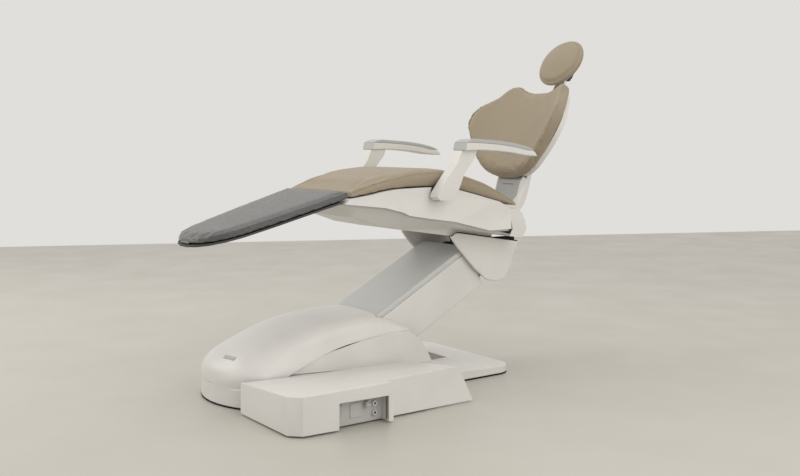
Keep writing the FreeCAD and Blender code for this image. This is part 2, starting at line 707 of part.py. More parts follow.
def make_utility_panel():
    """The tray behind the recess, open to the side and at the floor, with its service holes."""
    body = new_body("utility_panel")
    x1 = -d.recess_x - d.panel_t
    x2 = d.recess_len - d.recess_x + d.panel_t
    face = d.box_front_y - d.recess_d + d.panel_t * 3
    outer = [(x1, d.gasket_t), (x2, d.gasket_t), (x2, d.recess_h + d.panel_t),
             (x1, d.recess_h + d.panel_t)]
    pad(body, sketch(body, "XZ_Plane", outer, offset=face - d.panel_t), d.recess_d - d.panel_t * 3)
    inner = [(x1 + d.panel_t, 0), (x2 - d.panel_t, 0), (x2 - d.panel_t, d.recess_h),
             (x1 + d.panel_t, d.recess_h)]
    pocket(body, sketch(body, "XZ_Plane", inner, offset=face), reverse=True)
    doc.recompute()
    behind = face - d.panel_t * 2
    tools = [box("switch_hole", d.switch_x - d.switch_w / 2 - d.seam_gap, -behind - d.recess_d,
                 d.switch_z - d.switch_h / 2 - d.seam_gap, d.switch_w + d.seam_gap * 2,
                 d.recess_d, d.switch_h + d.seam_gap * 2)]
    tools.append(rod("valve_hole", d.valve_stem_r + d.pin_gap, d.valve_x, d.valve_z,
                     -behind - d.recess_d, -behind))
    for x, z in service_ports():
        tools.append(rod("port_hole", d.port_r - 2, x, z, -behind - d.recess_d, -behind))
    keep(cut("panel_with_holes", body, fuse("panel_holes", tools)), "utility_panel")
    return face


def service_ports():
    return ((d.port_x, d.port_z), (d.port_x, d.port_z - d.port_pitch))


def make_services(face):
    """What sits on the utility panel: rocker switch, valve, hose couplings, socket cover, supply."""
    body = new_body("mains_switch")
    low, high = d.switch_z - d.switch_h / 2, d.switch_z + d.switch_h / 2
    rocker = [(face - 9, low), (face + 2, low), (face + 5, d.switch_z), (face + 2, high),
              (face - 9, high)]
    shape = sketch(body, "YZ_Plane", [(-a, b) for a, b in rocker], offset=d.switch_x)
    pad(body, shape, d.switch_w, middle=True)
    axle = doc.addObject("Part::Cylinder", "switch_axle")
    bind(axle, "Radius", d.switch_axle_r)
    bind(axle, "Height", d.switch_w + d.seam_gap)
    place(axle, d.switch_x - d.switch_w / 2 - d.seam_gap / 2, d.switch_axle_y - face, d.switch_z, (0, 1, 0), 90)
    keep(fuse("switch", [body, axle]), "mains_switch")

    stem = rod("valve_stem", d.valve_stem_r, d.valve_x, d.valve_z, -face - 3, 12 - face)
    cap = rod("valve_cap", d.valve_r, d.valve_x, d.valve_z, -face - 15, -face - 3)
    grip = box("valve_grip", d.valve_x - d.valve_r * 0.9, -face - 20, d.valve_z - 3,
               d.valve_r * 1.8, 6, 6)
    keep(fuse("valve", [stem, cap, grip]), "shutoff_valve")

    couplings = []
    for x, z in service_ports():
        collar = rod("collar", d.port_r, x, z, -face - 9, -face)
        barrel = rod("barrel", d.port_r - 2, x, z, -face, 16 - face)
        bore = rod("port_bore", d.port_bore_r, x, z, -face - 9, 10 - face)
        couplings.append(cut("coupling", fuse("coupling_body", [collar, barrel]), bore))
    keep(group("couplings", couplings), "hose_couplings")
    keep(box("socket_plate", d.socket_x, -face - 3, d.socket_z, d.socket_w, 3, d.socket_w + 4),
         "socket_cover")
    keep(box("supply", d.supply_x, -d.supply_y, d.plate_t, 150, 90, 60), "power_supply")


# ---------------------------------------------------------------- lift
def make_base_frame():
    """Welded frame on the base plate: two cheeks for the arm and ears for the spindle motor."""
    inner = d.arm_plate_y + d.arm_plate_t + d.side_gap
    origin = (d.lift_x, d.lift_z)
    cheeks = [slab("base_cheek", d.outline("base_cheek", origin), inner, d.frame_plate_t, side)
              for side, _ in SIDES]
    reach = inner + d.frame_plate_t
    floor = box("floor_strip", d.motor_x - 40, -reach, d.plate_t, d.lift_x - d.motor_x + 110,
                reach * 2, 6)
    ear_h = d.motor_z - d.plate_t + 18
    ears = [box("motor_ear", d.motor_x - 16, y, d.plate_t, 32, 8, ear_h)
            for y in (d.motor_ear_y, -d.motor_ear_y - 8)]
    solid = fuse("frame_solid", cheeks + [floor] + ears)
    holes = [rod("arm_hole", d.arm_pin_r, d.lift_x, d.lift_z, -reach - 1, reach + 1),
             rod("link_hole", d.link_pin_r, d.lift_x, d.lift_z - d.link_drop, -reach - 1, reach + 1),
             rod("motor_hole", d.crank_pin_r, d.motor_x, d.motor_z, -60, 60)]
    keep(cut("frame_with_holes", solid, fuse("frame_holes", holes)), "base_frame")
    keep(rod("lift_pin", d.arm_pin_r, d.lift_x, d.lift_z, -reach, reach), "lift_pivot_pin")
    keep(rod("link_pin", d.link_pin_r, d.lift_x, d.lift_z - d.link_drop, -reach, reach),
         "link_pivot_pin")
    keep(rod("motor_pin", d.crank_pin_r, d.motor_x, d.motor_z, -d.motor_ear_y - 12,
             d.motor_ear_y + 12), "motor_pivot_pin")


def on_arm(thing):
    """Puts a piece drawn along +X from the lower pivot onto the raised arm."""
    return place(thing, d.lift_x, 0, d.lift_z, (0, -1, 0), d.arm_angle)


def make_lift_arm():
    """Two side plates joined by cross bars, with a crank above the lower pivot."""
    h = d.arm_plate_h
    crank = d.crank_angle - d.arm_angle
    cx, cz = d.crank_len * turn("cos", crank), d.crank_len * turn("sin", crank)
    points = [(-h, -h), (d.arm_len + h, -h), (d.arm_len + h, h), (h * 1.5, h), (cx + 16, cz + 16),
              (cx - 16, cz + 16), (-h, h)]
    plates = []
    for side, _ in SIDES:
        body = slab("arm_plate", points, d.arm_plate_y, d.arm_plate_t, side)
        rounded(body, h - 2, lambda edge: along_y(edge) and abs(edge.BoundBox.ZMax) < h.value + 1
                and (edge.BoundBox.XMax > d.arm_len.value or edge.BoundBox.XMax < 1))
        plates.append(body)
    bars = [box("cross_bar", at, d.wall - d.arm_half_w, -6, 16, (d.arm_half_w - d.wall) * 2, 30)
            for at in (d.arm_len * 0.28, d.arm_len * 0.8)]
    reach = d.arm_plate_y + d.arm_plate_t + 1
    holes = [rod("arm_bore", d.arm_pin_r + d.pin_gap, at, 0, -reach, reach) for at in (0, d.arm_len)]
    holes.append(rod("crank_bore", d.crank_pin_r, cx, cz, -reach, reach))
    arm = cut("arm_with_bores", fuse("arm_solid", plates + bars), fuse("arm_bores", holes))
    keep(on_arm(arm), "lift_arm_frame")
    keep(rod("crank_rod", d.crank_pin_r, crank_x, crank_z, 1 - reach, reach - 1), "crank_pin")


def make_arm_covers():
    """A channel over the arm and a deeper one under it, meeting at the side seam."""
    x2 = d.arm_cover_x2
    for name, x1, low, high, opening in (
            ("lift_arm_cover_top", d.arm_top_x1, d.arm_seam + d.seam_gap, d.arm_top, -1),
            ("lift_arm_cover_bottom", d.arm_cover_x1, -d.arm_under, d.arm_seam, 1)):
        body = prism(name, [(x1, low), (x2, low), (x2, high), (x1, high)], d.arm_half_w)
        if opening < 0:
            trench = [(x1 - 1, low - 1), (x2 + 1, low - 1), (x2 + 1, high - d.wall),
                      (x1 - 1, high - d.wall)]
            closed = high
        else:
            trench = [(x1 - 1, low + d.wall), (x2 + 1, low + d.wall), (x2 + 1, high + 1),
                      (x1 - 1, high + 1)]
            closed = low
        rounded(body, d.cover_r, lambda edge: edge.BoundBox.XLength > 1
                and abs(edge.BoundBox.ZMax - as_size(closed).value) < 0.1)
        pocket(body, sketch(body, "XZ_Plane", trench), (d.arm_half_w - d.wall) * 2, middle=True)
        keep(on_arm(body), name)


def make_parallel_link():
    """The bar under the arm that keeps the seat level."""
    far = d.link_h / 2 + 4
    body = prism("parallel_link", [(-far, -d.link_h / 2), (d.arm_len + far, -d.link_h / 2),
                                   (d.arm_len + far, d.link_h / 2), (-far, d.link_h / 2)],
                 d.link_w / 2)
    rounded(body, d.link_h / 2 - 1, along_y)
    doc.recompute()
    bores = [rod("link_bore", d.link_pin_r + gap, at, 0, -d.link_w, d.link_w)
             for at, gap in ((0, d.pin_gap), (d.arm_len, d.link_play))]
    link = cut("link_with_bores", body, group("link_bores", bores))
    keep(place(link, d.lift_x, 0, d.lift_z - d.link_drop, (0, -1, 0), d.arm_angle), "parallel_link")


def make_spindle():
    """The geared motor and housing on the base, and the spindle that pulls on the crank."""
    span_x, span_z = crank_x - d.motor_x, crank_z - d.motor_z
    span = root(span_x * span_x + span_z * span_z)
    angle = Size(math.degrees(math.atan2(span_z.value, span_x.value)),
                 "(atan2(%s; %s) / 1 deg)" % (span_z.text, span_x.text))

    def along(thing):
        return place(thing, d.motor_x, 0, d.motor_z, (0, -1, 0), angle)

    def tube(name, radius, start, length):
        thing = doc.addObject("Part::Cylinder", name)
        bind(thing, "Radius", radius)
        bind(thing, "Height", length)
        return place(thing, start, 0, 0, (0, 1, 0), 90)

    tongue = box("motor_tongue", -16, -24, -16, 48, 48, 32)
    case = tube("motor_case", d.motor_r, 26, 74)
    neck = tube("motor_neck", d.tube_r, 96, d.tube_end - 96)
    bore = tube("motor_bore", d.spindle_r + d.bar_gap, 60, d.tube_end)
    pivot = rod("motor_bore_across", d.crank_pin_r + d.pin_gap, 0, 0, -50, 50)
    motor = cut("motor_body", fuse("motor_solid", [tongue, case, neck]), fuse("motor_cuts", [bore, pivot]))
    keep(along(motor), "lift_motor")

    shaft = tube("spindle_shaft", d.spindle_r, d.spindle_start, span - d.spindle_start)
    ring = rod("spindle_ring", d.crank_pin_r + d.crank_gap + 8, span, 0, -12, 12)
    eye = rod("spindle_eye_hole", d.crank_pin_r + d.crank_gap, span, 0, -40, 40)
    spindle = cut("spindle_with_eye", fuse("spindle_solid", [shaft, ring]), eye)
    keep(along(spindle), "lift_spindle")


# ---------------------------------------------------------------- upper carriage
def make_carriage():
    """The level carriage on the arm: two cheeks with a beam that holds the side covers."""
    origin = (upper_x, upper_z)
    cheeks = [slab("yoke_cheek", d.outline("yoke_cheek", origin), d.yoke_plate_y,
                   d.yoke_plate_t, side) for side, _ in SIDES]
    reach = d.arm_half_w + d.yoke_gap - d.seam_gap
    beam = box("yoke_beam", upper_x + 58, -reach, upper_z - 30, 28, reach * 2, 26)
    holes = [rod("upper_hole", d.arm_pin_r, upper_x, upper_z, -reach, reach),
             rod("upper_link_hole", d.link_pin_r, upper_x, upper_z - d.link_drop, -reach, reach),
             rod("tilt_hole", d.tilt_pin_r + d.pin_gap, upper_x + d.tilt_x, upper_z + d.tilt_z,
                 -reach, reach)]
    keep(cut("yoke_with_holes", fuse("yoke_solid", cheeks + [beam]), fuse("yoke_holes", holes)),
         "carriage_frame")
    pin_reach = d.arm_plate_y + d.arm_plate_t
    keep(rod("upper_pin", d.arm_pin_r, upper_x, upper_z, -pin_reach, pin_reach), "upper_pivot_pin")
    link_reach = d.yoke_plate_y + d.yoke_plate_t
    keep(rod("upper_link_pin", d.link_pin_r, upper_x, upper_z - d.link_drop, -link_reach,
             link_reach), "upper_link_pin")
    for side, word in SIDES:
        body = slab("carriage_cover_" + word, d.outline("yoke_cover", origin), d.arm_half_w + d.yoke_gap,
                    d.yoke_cover_t, side)
        keep(body, "carriage_cover_" + word)


# ---------------------------------------------------------------- seat
def common(name, first, second):
    thing = doc.addObject("Part::Common", name)
    thing.Base = first
    thing.Tool = second
    return thing


def plan_block(name, half_widths, low, high):
    """A block seen from above: stations along the chair with their half widths."""
    body = new_body(name)
    outline = [(x, half) for x, half in half_widths] + [(x, -half) for x, half in reversed(half_widths)]
    pad(body, sketch(body, "XY_Plane", outline, offset=low), as_size(high) - low)
    return body


def seat_plan(widen):
    """Half widths of the seat, front to back, let out by an amount on every side."""
    return [(hinge_x - 760, d.seat_front_half_w + widen), (hinge_x - 720, d.seat_front_half_w + widen),
            (hinge_x + d.seat_taper_x, d.seat_half_w + widen), (hinge_x + 60, d.seat_half_w + widen)]


def make_seat_cushion():
    side = d.outline("seat_top", (hinge_x, hinge_z)) + d.outline("seat_under", (hinge_x, hinge_z), True)
    cushion = common("cushion", prism("seat_side", side, d.seat_half_w + 20),
                     plan_block("seat_plan", seat_plan(as_size(0)), hinge_z - 200, hinge_z + 400))
    keep(cushion, "seat_cushion")


def shell_outline(drop, depth):
    """Side view of the upper seat shell, with its top lowered and its foot taken down."""
    top = [(x, z - d.soft_gap - drop) for x, z in d.outline("seat_under", (hinge_x, hinge_z))]
    foot = [(x, z - depth) for x, z in d.outline("seam", (hinge_x, hinge_z), True)]
    back = [(hinge_x - 21.5, hinge_z - 14 - depth), (hinge_x - 21.5, hinge_z + 62 - drop)]
    return top[:-1] + back[::-1] + foot[1:]


def armrest_axle():
    return hinge_x + d.armrest_x, hinge_z + d.armrest_z - d.axle_drop


def motor_span():
    """How far the back gear motor reaches across, from its inner to its outer end."""
    start = d.lug_y + d.lug_t + 14
    return start, start + d.gearmotor_len


def motor_room():
    """The space that the covers leave round the back gear motor."""
    start, stop = motor_span()
    return rod("motor_room", d.gearmotor_r + 2, hinge_x, hinge_z, start - 13, stop + 4)


def make_seat_base_upper():
    """The upper seat shell: a rim that follows the underside of the cushion, open below."""
    widen = d.shell_half_w - d.seat_half_w
    zero = as_size(0)
    outer = common("shell_outer", prism("shell_side", shell_outline(zero, zero), d.shell_half_w + 20),
                   plan_block("shell_plan", seat_plan(widen), hinge_z - 200, hinge_z + 400))
    inside = shell_outline(d.wall, zero + 8)
    inner = common("shell_inner", prism("shell_side_in", inside, d.shell_half_w + 20),
                   plan_block("shell_plan_in", [(x + 12, half - d.wall) for x, half in seat_plan(widen)],
                              hinge_z - 200, hinge_z + 400))
    axle_x, axle_z = armrest_axle()
    ways = fuse("shell_ways", [motor_room(), rod("axle_way", d.axle_r + d.seam_gap, axle_x, axle_z,
                                                 -d.shell_half_w - 1, d.shell_half_w + 1)])
    upper = cut("shell_with_ways", cut("shell_wall", outer, inner), ways)
    keep(upper, "seat_base_upper")
    return upper


def make_seat_base_lower(upper):
    """The tapering tub under the upper shell, open at the top, with a slot for the lugs."""
    body = new_body("seat_base_lower")
    stations = d.stations("tub", TUB)
    for inset, carve in ((as_size(0), False), (d.wall, True)):
        levels = []
        for index, (at, corners) in enumerate(stations):
            if carve and index == 0:
                continue
            last = index == len(stations) - 1
            shift = inset * (1 if index == 1 else (0.5 if last else 0))
            rise = [inset * 0.5 - d.seam_gap * 2] + [inset] * (len(corners) - 1)
            points = [(half - inset, up + lift) for (half, up), lift in zip(corners, rise)]
            points = [(half, hinge_z + up) for half, up in points]
            levels.append(sketch(body, "YZ_Plane", mirrored(points), offset=hinge_x + at + shift))
        loft(body, levels, cut=carve)
    slot = [(hinge_x - 76, -96), (hinge_x + 40, -96), (hinge_x + 40, 96), (hinge_x - 76, 96)]
    pocket(body, sketch(body, "XY_Plane", slot, offset=hinge_z), reverse=False)
    keep(cut("tub_below_shell", body, upper), "seat_base_lower")


def make_rear_housing():
    """Two cheeks behind the seat with a slot between them for the back column."""
    outline = d.outline("housing", (hinge_x, hinge_z))
    parts = []
    for side, _ in SIDES:
        body = slab("housing_half", outline, d.housing_slot, d.housing_half_w - d.housing_slot, side)
        parts.append(body)
    hollows = []
    for side, _ in SIDES:
        inner = [(hinge_x + (x - hinge_x) * 0.82, hinge_z + (z - hinge_z) * 0.84) for x, z in outline]
        body = slab("housing_room", inner, d.housing_slot - 1,
                    d.housing_half_w - d.housing_slot - d.wall + 1, side)
        hollows.append(body)
    walls = cut("housing_wall", group("housing_halves", parts), group("housing_rooms", hollows))
    keep(cut("housing_with_room", walls, motor_room()), "rear_housing")


def make_seat_frame():
    """Two rails with cross bars, armrest brackets, and the lugs of the tilt and back hinges."""
    z = hinge_z + 38
    rails = [box("rail", hinge_x - d.rail_x1, y, z, d.rail_x1 - d.rail_x2, d.rail_w, d.rail_h)
             for y in (d.rail_y, -d.rail_y - d.rail_w)]
    reach = d.rail_y + d.rail_w
    bars = [box("cross_bar", hinge_x + at, -reach, z, 20, reach * 2, d.rail_h)
            for at in (-600, -80, -56)]
    wide = d.shell_half_w - d.wall * 2
    bars.append(box("arm_bar", hinge_x + d.armrest_x - 20, -wide, z, 40, wide * 2, d.rail_h))
    axle_x, axle_z = armrest_axle()
    brackets = [box("arm_bracket", axle_x - 22, y, z, 44, 12, axle_z + d.axle_r + 5 - z)
                for y in (wide - 12, -wide)]
    lugs = [slab("seat_lug", d.outline("lug", (hinge_x, hinge_z)), d.lug_y, d.lug_t, side)
            for side, _ in SIDES]
    holes = [rod("hinge_hole", d.hinge_pin_r + d.pin_gap, hinge_x, hinge_z, -120, 120),
             rod("lug_tilt_hole", d.tilt_pin_r, upper_x + d.tilt_x, upper_z + d.tilt_z, -120, 120),
             rod("axle_hole", d.axle_r + d.pin_gap, axle_x, axle_z, -300, 300)]
    keep(cut("seat_frame_holes", fuse("seat_frame_solid", rails + bars + brackets + lugs),
             fuse("seat_frame_cuts", holes)), "seat_frame")
    pin = d.lug_y + d.lug_t
    keep(rod("tilt_rod", d.tilt_pin_r, upper_x + d.tilt_x, upper_z + d.tilt_z, -pin, pin),
         "tilt_pivot_pin")
    start, stop = motor_span()
    keep(rod("gearmotor", d.gearmotor_r, hinge_x, hinge_z, start, stop), "recline_gearmotor")


def make_foot_section():
    """The leg cushion and the board it lies on, tapering to a rounded foot end."""
    origin = (hinge_x, hinge_z)
    top, under = d.outline("foot_top", origin), d.outline("foot_under", origin)
    plan = [(x, half - hinge_z) for x, half in d.outline("foot_plan", origin)][::-1]
    side = top + under
    cushion = common("foot_solid", prism("foot_side", side, d.seat_half_w),
                     plan_block("foot_plan_block", plan, hinge_z - 200, hinge_z + 300))
    keep(cushion, "foot_cushion")
    low = [(x, z - d.leg_board_t - d.soft_gap) for x, z in under]
    high = [(x, z - d.soft_gap) for x, z in under]
    trim = [(x, half - 6) for x, half in plan]
    trim[-1] = (hinge_x - d.board_x, trim[-1][1])
    board = common("board_solid", prism("board_side", high + low[::-1], d.seat_half_w),
                   plan_block("board_plan", trim, hinge_z - 200, hinge_z + 300))
    keep(board, "leg_board")


def make_armrests():
    """Each armrest is a post on a hub, a moulded arm and a soft pad along its top."""
    hub = (hinge_x + d.armrest_x, hinge_z + d.armrest_z)
    top = d.outline("rest_top", hub)
    under = d.outline("rest_under", hub)
    nose = d.outline("rest_nose", hub)
    axle_x, axle_z = armrest_axle()
    for side, word in SIDES:
        face = (d.shell_half_w, d.shell_half_w + d.socket_t)
        disc = across("socket_disc", d.socket_r, hub[0], hub[1], face, side)
        hole = across("socket_hole", d.axle_r + d.pin_gap, axle_x, axle_z, (face[0] - 5, face[1] + 5),
                      side)
        keep(cut("socket", disc, hole), "armrest_socket_" + word)
        post = slab("post", d.outline("post", hub), d.post_in_y, d.post_w, side)
        axle = across("axle", d.axle_r, axle_x, axle_z, (d.shell_half_w - d.wall - 18, d.post_in_y), side)
        keep(fuse("post_solid", [post, axle]), "armrest_post_" + word)
        low_top = [(x, z - d.pad_t) for x, z in top[1:-1]]
        arm = [nose[0]] + low_top + [top[-1]] + under
        keep(slab("arm", arm, d.armrest_in_y, d.armrest_w, side), "armrest_arm_" + word)
        pad_points = [nose[0]] + top + [(x, z + 0.2) for x, z in low_top[::-1]]
        keep(slab("armrest_soft", pad_points, d.armrest_in_y, d.armrest_w, side),
             "armrest_pad_" + word)


# ---------------------------------------------------------------- back
def on_back(thing):
    """Puts a piece drawn upright from the back hinge onto the leaning back."""
    return place(thing, hinge_x, 0, hinge_z, (0, 1, 0), d.back_lean)


def back_block(name, shrink):
    """The back seen square on, as a deep block."""
    body = new_body(name)
    middle = 455
    points = []
    for half, up in d.outline("back_edge"):
        points.append((half * shrink, middle + (up - middle) * shrink))
    shape = sketch(body, "YZ_Plane", mirrored(points), offset=as_size(-110))
    pad(body, shape, 240)
    return body


def wrapped(name, block, start, thickness):
    """The part of a block between two upright cylinders, so that it wraps round the body."""
    discs = []
    for radius in (start + thickness, start):
        disc = doc.addObject("Part::Cylinder", name + "_wrap")
        bind(disc, "Radius", radius)
        bind(disc, "Height", 700)
        place(disc, d.back_face - d.back_wrap_r, 0, 100)
        discs.append(disc)
    return common(name, block, cut(name + "_ring", discs[0], discs[1]))


def make_back():
    keep(on_back(wrapped("back_soft", back_block("back_outline", as_size(1)), d.back_wrap_r,
                         d.back_t)), "back_cushion")
    shrink = 1 - d.back_shell_in / 253
    keep(on_back(wrapped("back_hard", back_block("shell_block", shrink),
                         d.back_wrap_r + d.back_t + d.soft_gap, d.back_shell_t)), "back_shell")


def make_column():
    """The curved arm from the hinge up behind the back: a core inside a cover open to the front."""
    outline = d.outline("column")
    core = common("core_solid", prism("core_block", outline, d.column_half_w - 6),
                  prism("core_shift", [(x - 7, z) for x, z in outline], d.column_half_w - 6))
    barrel = rod("barrel", d.barrel_r, 0, 0, -d.barrel_half_w, d.barrel_half_w)
    slot = box("bar_slot", d.bar_x - d.bar_t / 2 - d.bar_gap, -d.bar_w / 2 - d.bar_gap, d.bar_low - 4,
               d.bar_t + d.bar_gap * 2, d.bar_w + d.bar_gap * 2, 400)
    hole = rod("hinge_bore", d.hinge_pin_r, 0, 0, -200, 200)
    keep(on_back(cut("core_cut", fuse("core_fused", [core, barrel]), fuse("core_tools", [slot, hole]))),
         "back_column")
    shifted = [(x - 6, z) for x, z in outline]
    cover = cut("cover_wall", prism("cover_block", outline, d.column_half_w),
                fuse("cover_room", [prism("cover_shift", shifted, d.column_half_w - 5.5),
                                    rod("barrel_room", d.barrel_r + 1, 0, 0, -100, 100),
                                    box("bar_room", d.bar_x - 12, -30, 555, 40, 60, 10)]))
    keep(on_back(cover), "back_column_cover")
    pin = d.lug_y + d.lug_t
    keep(rod("hinge_rod", d.hinge_pin_r, hinge_x, hinge_z, -pin, pin + 13), "back_hinge_pin")


# ---------------------------------------------------------------- headrest
def make_headrest():
    """An oval pad on a round shell, tilting on a bar that slides in the back column."""
    guide = cut("guide_ring",
                box("guide_block", d.bar_x - 12, -d.bar_w / 2 - 8, 561, 24, d.bar_w + 16, 26),
                box("guide_hole", d.bar_x - d.bar_t / 2 - d.bar_gap, -d.bar_w / 2 - d.bar_gap, 550,
                    d.bar_t + d.bar_gap * 2, d.bar_w + d.bar_gap * 2, 60))
    keep(on_back(guide), "headrest_guide")

    px, pz = d.head_pin_x, d.head_pin_z
    bar = box("bar", d.bar_x - d.bar_t / 2, -d.bar_w / 2, d.bar_low, d.bar_t, d.bar_w,
              pz - 34 - d.bar_low)
    keep(on_back(group("bar_piece", [bar])), "headrest_bar")
    block = box("knuckle_block", d.bar_x - 9, -23, pz - 34, 32, 46, 16)
    ears = [box("knuckle_ear", px - 11, y, pz - 20, 22, 10, 31) for y in (-23, 13)]
    hole = rod("knuckle_hole", d.head_pin_r, px, pz, -40, 40)
    keep(on_back(cut("knuckle", fuse("knuckle_solid", [block] + ears), hole)), "headrest_knuckle")
    pin = group("head_pin", [rod("head_pin_rod", d.head_pin_r, px, pz, -23, 34)])
    keep(on_back(pin), "headrest_pivot_pin")

    soft = new_body("head_soft")
    front = d.head_dome_in - d.head_front
    profile = [(-d.head_front, 0), (d.head_flat, 0), (d.head_flat, d.head_flat_r), (0, d.head_r),
               (front, d.head_dome_r)]
    crown = (d.head_dome_r * d.head_dome_r + d.head_dome_in * d.head_dome_in) / (d.head_dome_in * 2)
    turned(soft, sketch(soft, "XZ_Plane", profile, arcs={2: d.head_flat * 1.4, 3: d.head_dome_r * 0.8,
                                                          4: crown}))
    place(soft, d.head_x, 0, d.head_z)
    keep(on_back(group("head_soft_piece", [soft])), "headrest_cushion")
    flat = d.head_x + d.head_flat
    disc = doc.addObject("Part::Cylinder", "head_disc")
    bind(disc, "Radius", d.head_shell_r)
    bind(disc, "Height", d.head_shell_t)
    place(disc, flat + d.soft_gap, 0, d.head_z, (0, 1, 0), 90)
    lug = box("head_lug", flat + d.soft_gap + 4, -d.head_lug_half_w, pz - 11,
              px + 11 - flat - d.soft_gap - 4, d.head_lug_half_w * 2, 22)
    bore = rod("head_bore", d.head_pin_r + d.pin_gap, px, pz, -40, 40)
    keep(on_back(cut("head_shell_cut", fuse("head_shell_solid", [disc, lug]), bore)), "headrest_shell")
    knob = rod("lever_boss", 13, px, pz, 25, 39)
    grip = box("lever_grip", px - 5, 27, pz - 52, 10, 10, 50)
    hole = rod("lever_bore", d.head_pin_r + d.pin_gap, px, pz, 20, 34.2)
    keep(on_back(cut("lever", fuse("lever_solid", [knob, grip]), hole)), "headrest_lever")


make_floor_gasket()
make_base_plate()
make_base_cover()
base_trim = make_base_trim()
make_cowl_hood(base_trim)
make_cowl_side_panels(base_trim)
make_utility_box(base_trim)
make_services(make_utility_panel())
make_base_frame()
make_lift_arm()
make_arm_covers()
make_parallel_link()
make_spindle()
make_carriage()
make_seat_cushion()
make_seat_base_lower(make_seat_base_upper())
make_rear_housing()
make_seat_frame()
make_foot_section()
make_armrests()
make_back()
make_column()
make_headrest()


# ---------------------------------------------------------------- write the parts
def check_and_write():
    doc.recompute()
    for item in doc.Objects:
        if "Invalid" in item.State or "Error" in item.State:
            raise RuntimeError("%s did not build: %s" % (item.Name, item.State))
    os.makedirs("parts", exist_ok=True)
    for node in NODES:
        if node.Shape.isNull() or not node.Shape.isValid() or not node.Shape.Solids:
            raise RuntimeError("%s has no valid solid" % node.Label)
    for node in NODES:
        node.Shape.exportStep("parts/%s.step" % node.Label)
        print("%-26s %d solid(s) %12.0f mm3" % (node.Label, len(node.Shape.Solids), node.Shape.Volume))


check_and_write()
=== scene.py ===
"""Reclining treatment chair on a covered lift: its surfaces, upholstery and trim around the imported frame."""

import json
import math
from contextlib import contextmanager

import bmesh
import bpy
from bpy.props import FloatProperty, FloatVectorProperty, IntProperty, PointerProperty
from mathutils import Matrix, Vector
from mathutils.bvhtree import BVHTree
from mathutils.kdtree import KDTree

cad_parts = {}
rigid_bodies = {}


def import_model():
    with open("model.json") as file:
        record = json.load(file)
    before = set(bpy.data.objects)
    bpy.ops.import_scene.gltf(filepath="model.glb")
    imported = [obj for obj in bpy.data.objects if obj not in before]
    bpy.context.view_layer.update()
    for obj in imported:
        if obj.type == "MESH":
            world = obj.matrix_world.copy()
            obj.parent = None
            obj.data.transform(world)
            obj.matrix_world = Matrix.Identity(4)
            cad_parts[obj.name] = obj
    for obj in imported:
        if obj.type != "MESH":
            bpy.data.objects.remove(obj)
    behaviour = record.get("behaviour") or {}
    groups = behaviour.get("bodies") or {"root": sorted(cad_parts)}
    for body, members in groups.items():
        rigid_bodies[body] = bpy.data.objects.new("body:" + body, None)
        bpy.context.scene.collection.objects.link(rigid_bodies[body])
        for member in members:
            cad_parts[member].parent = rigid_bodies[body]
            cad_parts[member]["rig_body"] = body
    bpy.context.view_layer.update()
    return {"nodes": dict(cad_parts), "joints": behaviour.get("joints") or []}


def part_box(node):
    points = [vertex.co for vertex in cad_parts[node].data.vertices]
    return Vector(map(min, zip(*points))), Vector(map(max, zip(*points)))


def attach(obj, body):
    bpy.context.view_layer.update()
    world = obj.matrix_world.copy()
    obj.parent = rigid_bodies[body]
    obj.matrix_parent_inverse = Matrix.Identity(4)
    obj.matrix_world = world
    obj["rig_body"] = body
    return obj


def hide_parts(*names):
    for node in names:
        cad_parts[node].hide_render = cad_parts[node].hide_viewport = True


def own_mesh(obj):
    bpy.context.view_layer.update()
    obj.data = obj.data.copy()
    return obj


bl_info = {
    "name": "Treatment Chair",
    "version": (1, 0, 0),
    "blender": (4, 5, 0),
    "location": "3D View > Sidebar > Chair",
    "description": "Builds the shells, cushions, trim and stage of a treatment chair",
    "category": "Object",
}

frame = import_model()
NODES = frame["nodes"]
JOINTS = {joint["name"]: joint for joint in frame["joints"]}

BACK_HINGE = Vector(JOINTS["recline"]["pos_m"])
BACK_UP = Vector(JOINTS["headrest_height"]["axis"])
BACK_REAR = Vector((BACK_UP.z, 0, -BACK_UP.x))


# ------------------------------------------------------------------ sizes and colours
def tint(red, green, blue):
    """A paint-chart colour of 0 to 255 as the linear values that a shader takes."""
    return tuple(((v / 255 + 0.055) / 1.055) ** 2.4 if v > 10 else v / 255 / 12.92
                 for v in (red, green, blue))


def length(name, default, about):
    return FloatProperty(name=name, default=default, min=0, unit="LENGTH", description=about)


def paint(name, default, about):
    return FloatVectorProperty(name=name, default=default, min=0, max=1, subtype="COLOR", description=about)


class ChairSizes(bpy.types.PropertyGroup):
    """Sizes of the finished surfaces."""

    cover_edge: length("Cover edge", 0.004, "Rounding on the edges of the large covers")
    arm_edge: length("Arm edge", 0.009, "Rounding along the lift arm")
    rest_edge: length("Armrest edge", 0.009, "Rounding on the armrests")
    small_edge: length("Small edge", 0.001, "Rounding on switches, plates and brackets")
    seam: length("Seam", 0.0014, "Half width of the welt sewn along a cushion seam")
    seam_sink: length("Seam sink", 0.0026, "How far the cover is pulled in along a seam")
    stitch: length("Stitch", 0.0042, "Length of one stitch")
    stitch_pitch: length("Stitch pitch", 0.0072, "Distance from one stitch to the next")
    cloth_cell: length("Cloth cell", 0.0065, "Mesh size that the cushions are blown up from")
    cloth_steps: IntProperty(name="Cloth steps", default=20, min=2, description="Steps of the simulation")
    pressure: FloatProperty(name="Pressure", default=4, min=0, description="Air pressure inside a cushion")


